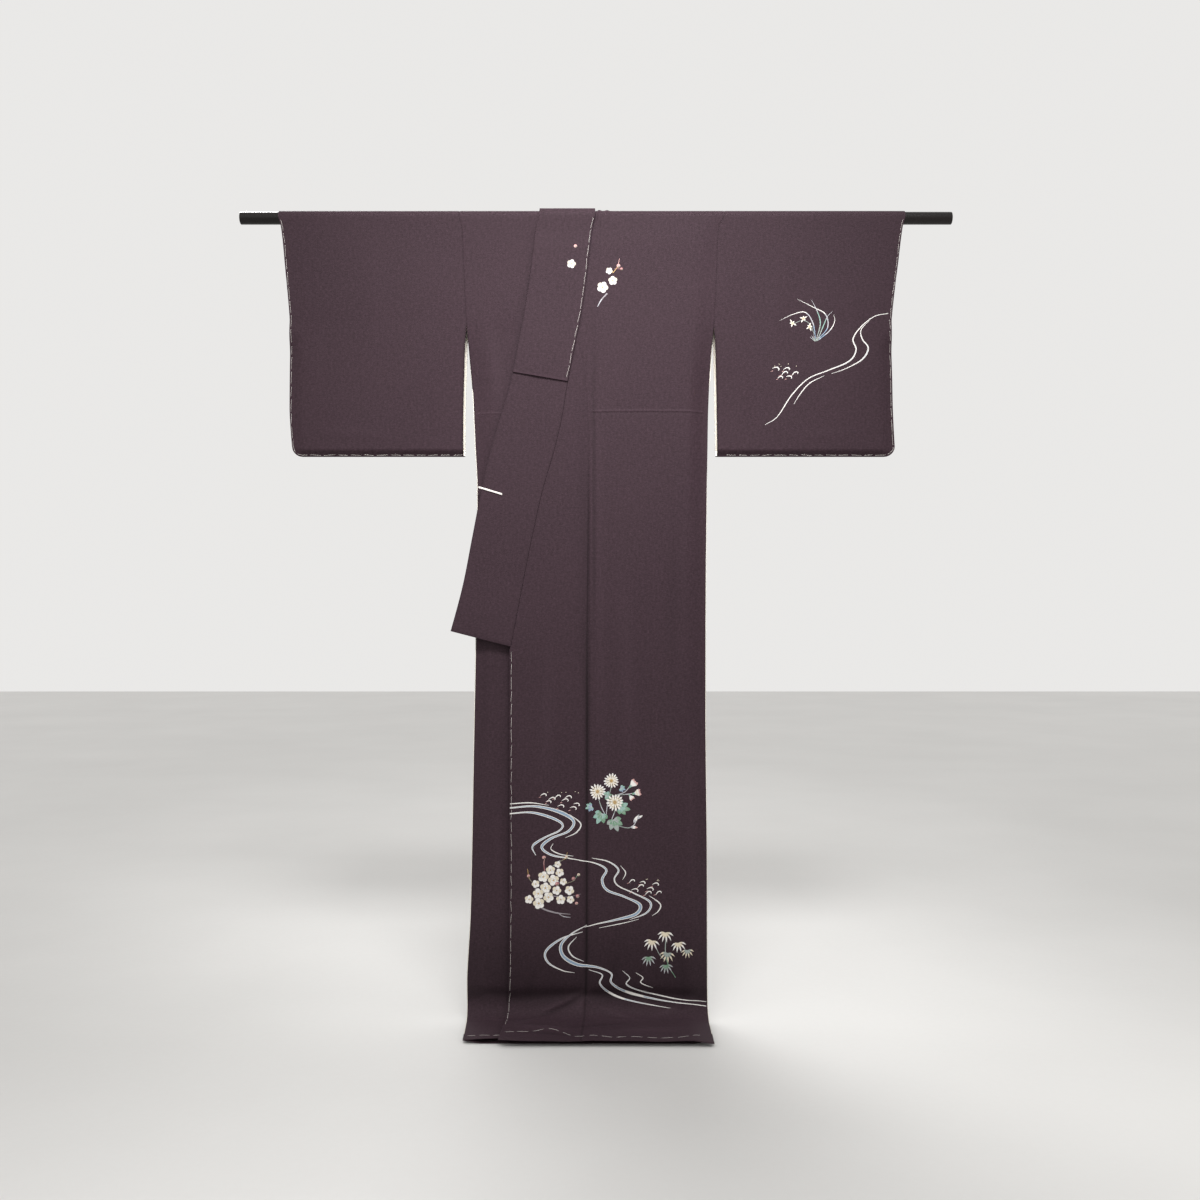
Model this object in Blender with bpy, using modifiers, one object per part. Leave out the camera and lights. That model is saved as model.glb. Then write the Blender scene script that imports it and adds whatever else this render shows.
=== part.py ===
"""A lined silk kimono hung by its sleeves on a lacquered rod, as one rigid part.

Metres, +Z up. The origin is on the rod's axis at mid-length, -Y is the front of the garment and +X
its wearer's left. Every panel of cloth is a thin wall around a surface that `hang` gives: a width x,
a reach (the length of cloth from the shoulder fold, plus towards the front hem, minus towards the
back hem) and a lift (how far the layer stands from the plane of the rod's axis).
"""

import math

import bmesh
import bpy
from mathutils import Vector

MM = 0.001

# Rod
ROD_RADIUS = 12.2 * MM
ROD_LENGTH = 1400 * MM
ROD_SIDES = 36
ROD_EDGE = 1.2 * MM

# Cloth walls and the gaps at seams
CLOTH_WALL = 1.4 * MM
COLLAR_WALL = 2.4 * MM
UNDER_COLLAR_WALL = 1.8 * MM
OVER_COLLAR_WALL = 1.8 * MM
LINING_WALL = 1.0 * MM
TIE_WALL = 1.2 * MM
SEAM_GAP = 0.3 * MM
ROD_GAP = 0.45 * MM
SEAM_LIFT = (CLOTH_WALL + SEAM_GAP) / 2

# How the layers leave the rod and meet the floor
TOP_LIFT = ROD_RADIUS + ROD_GAP + CLOTH_WALL / 2
SHOULDER_WRAP = TOP_LIFT * math.pi / 2
REST_DEPTH = 1574 * MM
HEM_FORWARD = 144 * MM
BACK_HEM_SHORTER = 14 * MM
BEND_RADIUS = 38 * MM
BEND_BULGE = 16 * MM
BULGE_X = -32 * MM
BULGE_WIDTH = 62 * MM

# Body
CENTRE_X = -5 * MM
RIGHT_NECK_X = -75 * MM
RIGHT_SEAM_IN = 6 * MM
RIGHT_NECK_SETTLES = 330 * MM
RIGHT_OKUMI_X = 4 * MM
RIGHT_OKUMI_SETTLES = 160 * MM
RIGHT_FRONT_X = 130 * MM
SLIT_TOP = 204 * MM
OKUMI_START = 237 * MM
COLLAR_END = 843 * MM
SIDE_EASE = 42 * MM
RIPPLE_EASE = 60 * MM
BACK_RIPPLE = -0.5

# The left front's free edge stands off what lies under it
FLARE = 6 * MM
FLARE_WIDTH = 26 * MM
FLARE_START = 680 * MM
FLARE_GROWS_OVER = 200 * MM
FLATTENS_FROM = 1470 * MM
FLATTENS_OVER = 130 * MM

# Sleeves
SLEEVE_DROP = 470 * MM
CUFF_OPENING = 222 * MM
CORNER_RADIUS = 21 * MM
SLEEVE_EDGE_EASE = 28 * MM
SLEEVE_BOTTOM_EASE = 15 * MM
SLEEVE_THINS = 2.5 * MM
SLEEVE_THINS_OVER = 200 * MM
CUFF_CLOSES_OVER = 50 * MM
LINING_DEPTH = 38 * MM
LINING_INSET = 1.6 * MM
FURI_STEP = 3.5 * MM
FURI_GROWS_OVER = 60 * MM

# Collars
FOLDED_COLLAR = 57 * MM
NECK_LOOP = 84 * MM
NECK_NARROWS = 0.42
COLLAR_SETTLES = 80 * MM
COLLAR_STANDS = 0.5 * MM
COLLAR_EXTRA_GAP = 0.2 * MM
COLLAR_SLANT = 30 * MM
SLANT_START = 400 * MM
SLANT_GROWS_OVER = 400 * MM
OVER_COLLAR_LEFT_DROP = 306 * MM
OVER_COLLAR_RIGHT_DROP = 324 * MM
OVER_COLLAR_BACK_DROP = 76 * MM
OVER_COLLAR_INSET = 0.4 * MM

# The tape on the collar's free edge
TIE_DROP = 533 * MM
TIE_LENGTH = 40 * MM
TIE_FALL = 12 * MM
TIE_HALF_WIDTH = 1.9 * MM

# Colours
SILK_COLOUR = (0.052, 0.034, 0.044)
LINING_COLOUR = (0.78, 0.75, 0.71)
LACQUER_COLOUR = (0.012, 0.008, 0.009)

# Tables in millimetres: a row for each level, read by the name of the column.
# Drop is the length of cloth below the rod's axis.
LIFTS = (
    # how far each layer stands out from the plane of the rod
    {"drop": 0, "back": 13.35, "under": 13.35, "over": 13.35, "side": 13.35},
    {"drop": 60, "back": 12.5, "under": 11.8, "over": 16.4, "side": 12.9},
    {"drop": 204, "back": 10.5, "under": 9.6, "over": 16.2, "side": 11.0},
    {"drop": 344, "back": 9.6, "under": 8.6, "over": 15.6, "side": 0.85},
    {"drop": 620, "back": 9.0, "under": 7.8, "over": 14.8, "side": 0.85},
    {"drop": 1200, "back": 9.0, "under": 7.4, "over": 14.4, "side": 0.85},
    {"drop": 1500, "back": 8.0, "under": 6.4, "over": 12.6, "side": 0.85},
    {"drop": 1590, "back": 6.0, "under": 3.6, "over": 7.6, "side": 0.85},
    {"drop": 1720, "back": 6.0, "under": 2.6, "over": 5.2, "side": 0.85},
)
RIPPLES = (
    # shallow upright folds: height, spacing and phase, and the drops over which they grow
    {"height": 1.3, "spacing": 195, "phase": 0.7, "start": 150, "grows_over": 500},
    {"height": 0.7, "spacing": 85, "phase": 2.1, "start": 400, "grows_over": 700},
)
RIGHT_SIDE = (
    # the right body's outer edge: armhole seam, side slit, side seam
    {"drop": 0, "x": -268.5},
    {"drop": 22, "x": -263.4},
    {"drop": 94, "x": -259.7},
    {"drop": 204, "x": -254.2},
    {"drop": 379, "x": -237.0},
    {"drop": 454, "x": -232.5},
    {"drop": 525, "x": -230.8},
    {"drop": 830, "x": -234.4},
    {"drop": 1222, "x": -240.0},
    {"drop": 1503, "x": -247.0},
    {"drop": 1700, "x": -243.5},
)
LEFT_SIDE = (
    {"drop": 0, "x": 251.0},
    {"drop": 22, "x": 240.5},
    {"drop": 95, "x": 236.6},
    {"drop": 204, "x": 231.9},
    {"drop": 287, "x": 222.5},
    {"drop": 344, "x": 218.5},
    {"drop": 420, "x": 216.8},
    {"drop": 623, "x": 214.0},
    {"drop": 850, "x": 213.0},
    {"drop": 1220, "x": 215.0},
    {"drop": 1700, "x": 214.7},
)
COLLAR = (
    # the left collar: the seam to body and okumi, and the free outer edge
    {"drop": 0, "seam": -1.5, "edge": -111.0},
    {"drop": 22, "seam": -6.2, "edge": -117.0},
    {"drop": 64, "seam": -11.9, "edge": -122.5},
    {"drop": 137, "seam": -20.4, "edge": -131.8},
    {"drop": 194, "seam": -29.2, "edge": -141.2},
    {"drop": 237, "seam": -37.6, "edge": -149.5},
    {"drop": 323, "seam": -55.0, "edge": -166.0},
    {"drop": 398, "seam": -67.6, "edge": -183.5},
    {"drop": 410, "seam": -70.2, "edge": -193.0},
    {"drop": 455, "seam": -81.0, "edge": -206.0},
    {"drop": 537, "seam": -104.5, "edge": -221.5},
    {"drop": 630, "seam": -125.4, "edge": -239.3},
    {"drop": 728, "seam": -144.8, "edge": -258.0},
    {"drop": 843, "seam": -166.4, "edge": -288.0},
)
OKUMI_SEAM = (
    {"drop": 237, "x": -37.6},
    {"drop": 290, "x": -25.6},
    {"drop": 375, "x": -17.7},
    {"drop": 520, "x": -14.8},
    {"drop": 850, "x": -17.4},
    {"drop": 1240, "x": -17.7},
    {"drop": 1480, "x": -19.0},
    {"drop": 1700, "x": -27.5},
)
FRONT_EDGE = (
    # the left okumi's free edge
    {"drop": 843, "x": -168.5},
    {"drop": 1240, "x": -168.5},
    {"drop": 1480, "x": -170.5},
    {"drop": 1590, "x": -175.0},
    {"drop": 1700, "x": -181.0},
)
RIGHT_SLEEVE = (
    # the cuff edge, and below the armhole the open edge next to the body
    {"drop": 0, "open_edge": -254.5, "cuff_edge": -620.0},
    {"drop": 22, "open_edge": -254.5, "cuff_edge": -613.5},
    {"drop": 94, "open_edge": -254.5, "cuff_edge": -607.0},
    {"drop": 204, "open_edge": -254.5, "cuff_edge": -597.8},
    {"drop": 311, "open_edge": -257.8, "cuff_edge": -598.4},
    {"drop": 383, "open_edge": -260.2, "cuff_edge": -599.2},
    {"drop": 470, "open_edge": -260.6, "cuff_edge": -593.5},
)
LEFT_SLEEVE = (
    {"drop": 0, "open_edge": 232.2, "cuff_edge": 601.6},
    {"drop": 22, "open_edge": 232.2, "cuff_edge": 596.0},
    {"drop": 95, "open_edge": 232.2, "cuff_edge": 587.6},
    {"drop": 204, "open_edge": 232.2, "cuff_edge": 577.0},
    {"drop": 311, "open_edge": 233.5, "cuff_edge": 577.2},
    {"drop": 383, "open_edge": 234.4, "cuff_edge": 578.6},
    {"drop": 470, "open_edge": 237.4, "cuff_edge": 584.0},
)
# each sleeve's name, its own table and the body's edge that it is sewn to
SLEEVES = (("right", RIGHT_SLEEVE, RIGHT_SIDE), ("left", LEFT_SLEEVE, LEFT_SIDE))

# Where each panel's rows of points lie, as drops in millimetres
COLLAR_ROWS = (25, 60, 110, 160, 204, 237, 245, 290, 344, 398, 410, 470, 550, 640, 740, 843)
LOWER_ROWS = (845, 980, 1120, 1270, 1420)
SLEEVE_ROWS = (25, 60, 110, 160, 204, 240, 290, 350, 400, 435)
SLEEVE_TAIL_ROWS = (446, 455, 460, 465, 470)
LINING_ROWS = (216, 240, 290, 350, 400, 435, 446, 454)
OVER_COLLAR_ROWS = (25, 64, 110, 160, 210, 260, 306)
NECK_LOOP_SHARES = (1, 0.93, 0.8, 0.55, 0.25)
OVER_ROD_SHARES = (-1, -0.75, -0.5, -0.25, 0, 0.25, 0.5, 0.75, 1)
SHOULDER_SHARES = (0.25, 0.5, 0.75, 1)
TURN_SHARES = (0, 0.2, 0.4, 0.6, 0.8)
FLOOR_SHARES = (0, 0.45, 0.8, 1)
NEAR_CUFF = (28, 18, 11, 6, 2.5, 0)
ACROSS_BODY = 9
ACROSS_OKUMI = 6
ACROSS_SLEEVE = 8
ACROSS_COLLAR = 5
ACROSS_FOLDED_COLLAR = 4
ACROSS_LINING = 3

# The tape's line: along from the free edge, and how far ahead of the collar's middle as a share
TIE_LINE = (
    {"inward": 40, "ahead": 1},
    {"inward": 26, "ahead": 1},
    {"inward": 12, "ahead": 1},
    {"inward": 1.5, "ahead": 1},
    {"inward": -4, "ahead": 0.7},
    {"inward": -6.5, "ahead": 0},
    {"inward": -4, "ahead": -0.7},
    {"inward": 1.5, "ahead": -1},
    {"inward": 12, "ahead": -1},
)


def read(table, column, drop):
    """A column of a table at a drop in metres, joined smoothly between its rows."""
    level = drop / MM
    if level <= table[0]["drop"]:
        return table[0][column] * MM
    if level >= table[-1]["drop"]:
        return table[-1][column] * MM
    rows = [(row["drop"], row[column]) for row in table]
    place = next(i for i in range(len(rows) - 1) if rows[i + 1][0] >= level)
    (start, low), (end, high) = rows[place], rows[place + 1]
    before = rows[max(place - 1, 0)]
    after = rows[min(place + 2, len(rows) - 1)]
    span = end - start
    slope_in = (high - before[1]) / (end - before[0]) * span
    slope_out = (after[1] - low) / (after[0] - start) * span
    if place == 0:
        slope_in = high - low
    if place == len(rows) - 2:
        slope_out = high - low
    rise = high - low
    slope_in = limited(slope_in, rise)
    slope_out = limited(slope_out, rise)
    part = (level - start) / span
    curve = (
        (2 * part**3 - 3 * part**2 + 1) * low
        + (part**3 - 2 * part**2 + part) * slope_in
        + (3 * part**2 - 2 * part**3) * high
        + (part**3 - part**2) * slope_out
    )
    return curve * MM


def limited(slope, rise):
    """A slope kept between none and three times the rise, so that a curve never overshoots its rows."""
    if slope * rise <= 0:
        return 0.0
    return math.copysign(min(abs(slope), 3 * abs(rise)), rise)


def ease(share):
    """From 0 to 1 with no kink at either end."""
    share = min(max(share, 0.0), 1.0)
    return share * share * (3 - 2 * share)


def bend_radius(x):
    """The radius of the turn on to the floor, wider where the overlap seam pushes the cloth up."""
    return BEND_RADIUS + BEND_BULGE * math.exp(-(((x - BULGE_X) / BULGE_WIDTH) ** 2))


def hang(x, reach, lift):
    """The point of a layer: over the rod, straight down, round the turn and forward on the floor."""
    if abs(reach) < SHOULDER_WRAP:
        turn = reach / SHOULDER_WRAP * math.pi / 2
        return Vector((x, -lift * math.sin(turn), lift * math.cos(turn)))
    drop = abs(reach) - SHOULDER_WRAP
    ahead = math.copysign(lift, reach)
    radius = bend_radius(x)
    straight = REST_DEPTH - radius
    if drop <= straight:
        return Vector((x, -ahead, -drop))
    turn = (drop - straight) / radius
    if turn <= math.pi / 2:
        forward = radius * (1 - math.cos(turn)) + ahead * math.cos(turn)
        depth = straight + (radius - ahead) * math.sin(turn)
        return Vector((x, -forward, -depth))
    run = drop - straight - radius * math.pi / 2
    return Vector((x, -radius - run, ahead - REST_DEPTH))


def floor_rows(x, shorter=0.0):
    """The drops round the turn and along the floor to the hem, at one x."""
    radius = bend_radius(x)
    straight = REST_DEPTH - radius
    turned = straight + radius * math.pi / 2
    hem = turned + HEM_FORWARD - radius - shorter
    drops = [straight + radius * math.pi / 2 * share for share in TURN_SHARES]
    return drops + [turned + (hem - turned) * share for share in FLOOR_SHARES]


def ripple(x, drop):
    """The shallow upright folds that all the front layers share."""
    inside = ease((x - read(RIGHT_SIDE, "x", drop)) / RIPPLE_EASE)
    inside *= ease((read(LEFT_SIDE, "x", drop) - x) / RIPPLE_EASE)
    inside *= 1 - 0.5 * ease((drop - FLATTENS_FROM) / FLATTENS_OVER)
    total = 0.0
    for fold in RIPPLES:
        grown = ease((drop / MM - fold["start"]) / fold["grows_over"])
        wave = math.sin(2 * math.pi * x / MM / fold["spacing"] + fold["phase"])
        total += fold["height"] * MM * wave * grown
    return total * inside


def from_side(x, drop, side_table):
    """0 at a side seam, 1 where the layer is clear of it."""
    return ease(abs(read(side_table, "x", drop) - x) / SIDE_EASE)


def body_lift(layer, side_table):
    """The lift of a body layer, drawn in to its neighbour at the side."""

    def lift(x, drop):
        side = read(LIFTS, "side", drop)
        share = BACK_RIPPLE if layer == "back" else 1
        middle = read(LIFTS, layer, drop) + ripple(x, drop) * share
        return side + (middle - side) * from_side(x, drop, side_table)

    return lift


under_lift = body_lift("under", RIGHT_SIDE)
over_lift_plain = body_lift("over", LEFT_SIDE)


def free_edge_flare(x, drop):
    """How much more the left front's free edge and the collar's end stand off the right front."""
    edge = read(FRONT_EDGE, "x", drop)
    shown = ease((drop - FLARE_START) / FLARE_GROWS_OVER)
    shown *= 1 - 0.8 * ease((drop - FLATTENS_FROM) / FLATTENS_OVER)
    return FLARE * shown * math.exp(-max(x - edge, 0) / FLARE_WIDTH)


def over_lift(x, drop):
    """The left front and its overlap panel."""
    return over_lift_plain(x, drop) + free_edge_flare(x, drop)


def collar_lift(x, drop):
    """The left collar lies in line with the left front, and over the folded right collar at the rod."""
    at_rod = TOP_LIFT + UNDER_COLLAR_WALL / 2 + SEAM_GAP + COLLAR_WALL / 2 + COLLAR_EXTRA_GAP
    below = read(LIFTS, "over", drop) + ripple(x, drop) + free_edge_flare(x, drop) + COLLAR_STANDS
    return at_rod + (below - at_rod) * ease(drop / COLLAR_SETTLES)


def principled(name, colour, roughness, metallic=0.0):
    """One Principled material."""
    material = bpy.data.materials.new(name)
    material.use_nodes = True
    shader = material.node_tree.nodes["Principled BSDF"]
    shader.inputs["Base Color"].default_value = (*colour, 1)
    shader.inputs["Roughness"].default_value = roughness
    shader.inputs["Metallic"].default_value = metallic
    return material


def put_in(collection, thing):
    """Leaves an object in one collection only."""
    for old in list(thing.users_collection):
        old.objects.unlink(thing)
    collection.objects.link(thing)


def sheet(collection, name, material, grid, wall):
    """Puts in a closed wall of cloth around a grid of points, given row by row."""
    mesh = bpy.data.meshes.new(name)
    form = bmesh.new()
    made = [[form.verts.new(point) for point in row] for row in grid]
    for upper, lower in zip(made, made[1:]):
        for i in range(len(upper) - 1):
            form.faces.new((upper[i], lower[i], lower[i + 1], upper[i + 1]))
    form.to_mesh(mesh)
    form.free()
    mesh.shade_smooth()
    mesh.materials.append(material)
    panel = bpy.data.objects.new(name, mesh)
    collection.objects.link(panel)
    solid = panel.modifiers.new("wall", "SOLIDIFY")
    solid.thickness = wall
    solid.offset = 0
    solid.use_even_offset = True


def spread(left, right, count):
    """Evenly spaced widths from one edge to the other."""
    return [left + (right - left) * i / (count - 1) for i in range(count)]


def shoulder_reaches():
    """Reaches from the shoulder fold to where the cloth leaves the rod."""
    return [SEAM_GAP] + [SHOULDER_WRAP * share for share in SHOULDER_SHARES]


def panel_rows(drops, left_edge, right_edge, lift, side, count):
    """Rows of a panel from the shoulder fold down, on the front (side 1) or the back (side -1)."""
    rows = []
    for reach in shoulder_reaches():
        widths = spread(left_edge(0), right_edge(0), count)
        rows.append([hang(x, side * reach, lift(x, 0)) for x in widths])
    for drop in drops:
        widths = spread(left_edge(drop), right_edge(drop), count)
        rows.append([hang(x, side * (SHOULDER_WRAP + drop), lift(x, drop)) for x in widths])
    return rows


def down_to_hem(rows, left_edge, right_edge, lift, side, count, shorter=0.0):
    """Adds a panel's rows round the turn and along the floor."""
    hem_drop = floor_rows(BULGE_X, shorter)[-1]
    widths = spread(left_edge(hem_drop), right_edge(hem_drop), count)
    for row in range(len(floor_rows(0, shorter))):
        points = []
        for x in widths:
            drop = floor_rows(x, shorter)[row]
            points.append(hang(x, side * (SHOULDER_WRAP + drop), lift(x, drop)))
        rows.append(points)


def facing_front(rows, side):
    """Rows in the order that makes a panel's faces point out of the garment."""
    return rows if side > 0 else [row[::-1] for row in rows]


def make_rod(collection):
    """The lacquered rod, with its edges just eased."""
    bpy.ops.mesh.primitive_cylinder_add(
        vertices=ROD_SIDES, radius=ROD_RADIUS, depth=ROD_LENGTH, rotation=(0, math.pi / 2, 0)
    )
    rod = bpy.context.active_object
    rod.name = "rod"
    rod.data.name = "rod"
    put_in(collection, rod)
    rod.data.materials.append(principled("rod_lacquer", LACQUER_COLOUR, 0.12))
    bevel = rod.modifiers.new("edge", "BEVEL")
    bevel.width = ROD_EDGE
    bevel.segments = 2
    bevel.limit_method = "ANGLE"
    rod.data.shade_smooth()


def neck_edge(drop):
    """The left body's inner edge: the collar seam, then the overlap panel's seam."""
    if drop < OKUMI_START:
        return read(COLLAR, "seam", drop) + SEAM_GAP
    return read(OKUMI_SEAM, "x", drop) + SEAM_GAP


def under_neck_edge(drop):
    """The right body's inner edge, the left one's mirror image drawn in under the collar at the top."""
    mirrored = 2 * CENTRE_X - read(COLLAR, "seam", drop) - RIGHT_SEAM_IN
    return RIGHT_NECK_X + (mirrored - RIGHT_NECK_X) * ease(drop / RIGHT_NECK_SETTLES)


def under_okumi_seam(drop):
    """The seam between the right body and its overlap panel."""
    if drop < OKUMI_START:
        return under_neck_edge(drop)
    start = under_neck_edge(OKUMI_START)
    return start + (RIGHT_OKUMI_X - start) * ease((drop - OKUMI_START) / RIGHT_OKUMI_SETTLES)


def under_front_edge(drop):
    """The right overlap panel's inner edge: the folded collar's seam, then its free edge."""
    return min(under_neck_edge(min(drop, COLLAR_END)), RIGHT_FRONT_X)


def make_bodies(collection, silk):
    """The four body panels: each half's front and back meet at the shoulder fold and the side seam."""
    drops = [drop * MM for drop in COLLAR_ROWS + LOWER_ROWS]
    left_side = lambda drop: read(LEFT_SIDE, "x", drop)
    right_side = lambda drop: read(RIGHT_SIDE, "x", drop)
    middle_left = lambda drop: CENTRE_X + SEAM_GAP / 2
    middle_right = lambda drop: CENTRE_X - SEAM_GAP / 2
    under_seam = lambda drop: under_okumi_seam(drop) - SEAM_GAP
    plans = (
        ("left_front", neck_edge, left_side, over_lift, 1),
        ("right_front", right_side, under_seam, under_lift, 1),
        ("left_back", middle_left, left_side, body_lift("back", LEFT_SIDE), -1),
        ("right_back", right_side, middle_right, body_lift("back", RIGHT_SIDE), -1),
    )
    for name, left_edge, right_edge, lift, side in plans:
        shorter = 0.0 if side > 0 else BACK_HEM_SHORTER
        rows = panel_rows(drops, left_edge, right_edge, lift, side, ACROSS_BODY)
        down_to_hem(rows, left_edge, right_edge, lift, side, ACROSS_BODY, shorter)
        sheet(collection, name, silk(name), facing_front(rows, side), CLOTH_WALL)


def make_okumi(collection, silk):
    """The two overlap panels, pointed at the top where collar and body meet."""
    left_seam = lambda drop: read(OKUMI_SEAM, "x", drop)
    left_free = lambda drop: (
        read(COLLAR, "seam", drop) + SEAM_GAP
        if drop <= COLLAR_END
        else read(FRONT_EDGE, "x", drop)
    )
    plans = (
        ("left_okumi", left_free, left_seam, over_lift),
        ("right_okumi", under_okumi_seam, under_front_edge, under_lift),
    )
    drops = [drop * MM for drop in COLLAR_ROWS + LOWER_ROWS if drop * MM > OKUMI_START]
    for name, left_edge, right_edge, lift in plans:
        rows = []
        for drop in drops:
            widths = spread(left_edge(drop), right_edge(drop), ACROSS_OKUMI)
            rows.append([hang(x, SHOULDER_WRAP + drop, lift(x, drop)) for x in widths])
        down_to_hem(rows, left_edge, right_edge, lift, 1, ACROSS_OKUMI)
        sheet(collection, name, silk(name), rows, CLOTH_WALL)


def sleeve_lift(x, drop, table, bottom):
    """Half the sleeve's depth, drawn together at the bottom and below the cuff opening."""
    depth = read(LIFTS, "side", min(drop, SLIT_TOP))
    depth -= SLEEVE_THINS * ease((drop - SLIT_TOP) / SLEEVE_THINS_OVER)
    below_cuff = ease((drop - CUFF_OPENING) / CUFF_CLOSES_OVER)
    edge = abs(x - read(table, "cuff_edge", drop))
    closed = 1 - below_cuff * (1 - ease(edge / SLEEVE_EDGE_EASE))
    closed *= ease((bottom - drop) / SLEEVE_BOTTOM_EASE)
    return SEAM_LIFT + (depth - SEAM_LIFT) * closed


def sleeve_bottom(x, table):
    """The drop of the sleeve's bottom fold, raised round the rounded outer corner."""
    near = CORNER_RADIUS - abs(x - read(table, "cuff_edge", SLEEVE_DROP))
    if near <= 0:
        return SLEEVE_DROP
    return SLEEVE_DROP - CORNER_RADIUS + math.sqrt(max(CORNER_RADIUS**2 - near**2, 0.0))


def inner_edge(drop, table, body_side, step):
    """The sleeve's edge at the body: sewn to it down to the slit, then open and a step wider."""
    if drop <= SLIT_TOP:
        sewn = read(body_side, "x", drop)
        return sewn + math.copysign(SEAM_GAP, sewn)
    edge = read(table, "open_edge", drop)
    return edge - math.copysign(step * ease((drop - SLIT_TOP) / FURI_GROWS_OVER), edge)


def sleeve_widths(drop, table, body_side, step):
    """Widths across a sleeve, closer together at the cuff edge."""
    inner = inner_edge(drop, table, body_side, step)
    outer = read(table, "cuff_edge", drop)
    near = [outer - math.copysign(distance * MM, outer) for distance in NEAR_CUFF]
    widths = spread(inner, near[0], ACROSS_SLEEVE - 1)[:-1] + near
    return sorted(widths)


def make_sleeves(collection, silk):
    """Each sleeve's front and back, which meet at the shoulder fold, the bottom and below the cuff."""
    for side_name, table, body_side in SLEEVES:
        for face, side in (("front", 1), ("back", -1)):
            step = 0.0 if side > 0 else FURI_STEP
            rows = []
            for reach in shoulder_reaches():
                widths = sleeve_widths(0, table, body_side, step)
                rows.append([hang(x, side * reach, TOP_LIFT) for x in widths])
            for drop in [row * MM for row in SLEEVE_ROWS + SLEEVE_TAIL_ROWS]:
                points = []
                for x in sleeve_widths(drop, table, body_side, step):
                    bottom = sleeve_bottom(x, table)
                    at = drop * bottom / SLEEVE_DROP
                    points.append(hang(x, side * (SHOULDER_WRAP + at), sleeve_lift(x, at, table, bottom)))
                rows.append(points)
            name = f"{side_name}_sleeve_{face}"
            sheet(collection, name, silk(name), facing_front(rows, side), CLOTH_WALL)


def make_linings(collection, lining):
    """The strips of sleeve lining that show inside each sleeve's open edge."""
    inward = CLOTH_WALL / 2 + SEAM_GAP + LINING_WALL / 2
    for side_name, table, body_side in SLEEVES:
        for face, side in (("front", 1), ("back", -1)):
            step = 0.0 if side > 0 else FURI_STEP
            rows = []
            for drop in [row * MM for row in LINING_ROWS]:
                edge = inner_edge(drop, table, body_side, step)
                inner = edge + math.copysign(LINING_INSET, edge)
                outer = edge + math.copysign(LINING_DEPTH, edge)
                widths = spread(min(inner, outer), max(inner, outer), ACROSS_LINING)
                row = []
                for x in widths:
                    lift = sleeve_lift(x, drop, table, SLEEVE_DROP) - inward
                    row.append(hang(x, side * (SHOULDER_WRAP + drop), lift))
                rows.append(row)
            name = f"{side_name}_sleeve_lining_{face}"
            sheet(collection, name, lining(name), facing_front(rows, side), LINING_WALL)


def collar_row(left_drop, right_drop, lift, raise_by, inset):
    """A row across the left collar, from its free edge to its seam, slanting when the drops differ."""
    row = []
    for i in range(ACROSS_COLLAR):
        share = i / (ACROSS_COLLAR - 1)
        drop = left_drop + (right_drop - left_drop) * share
        free = read(COLLAR, "edge", drop) + inset
        seam = read(COLLAR, "seam", drop) - inset
        x = free + (seam - free) * share
        row.append(hang(x, SHOULDER_WRAP + drop, lift(x, drop) + raise_by))
    return row


def neck_rows(lift_at_rod, raise_by, back_drop, inset):
    """The collar's rows from behind, with rounded lower corners, up over the rod."""
    left = read(COLLAR, "edge", 0) + inset
    right = read(COLLAR, "seam", 0) - inset
    middle = (left + right) / 2
    half = (right - left) / 2
    rows = []
    for share in NECK_LOOP_SHARES:
        drop = back_drop * share
        narrow = 1 - NECK_NARROWS * ease(2 * share - 1) ** 2
        behind = read(LIFTS, "back", drop) + CLOTH_WALL / 2 + 2 * SEAM_GAP + COLLAR_WALL / 2
        lift = max(behind, lift_at_rod - (lift_at_rod - behind) * ease(share * 2)) + raise_by
        widths = spread(middle - half * narrow, middle + half * narrow, ACROSS_COLLAR)
        rows.append([hang(x, -SHOULDER_WRAP - drop, lift) for x in widths])
    for share in OVER_ROD_SHARES:
        widths = spread(left, right, ACROSS_COLLAR)
        rows.append([hang(x, share * SHOULDER_WRAP, lift_at_rod + raise_by) for x in widths])
    return rows


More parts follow.
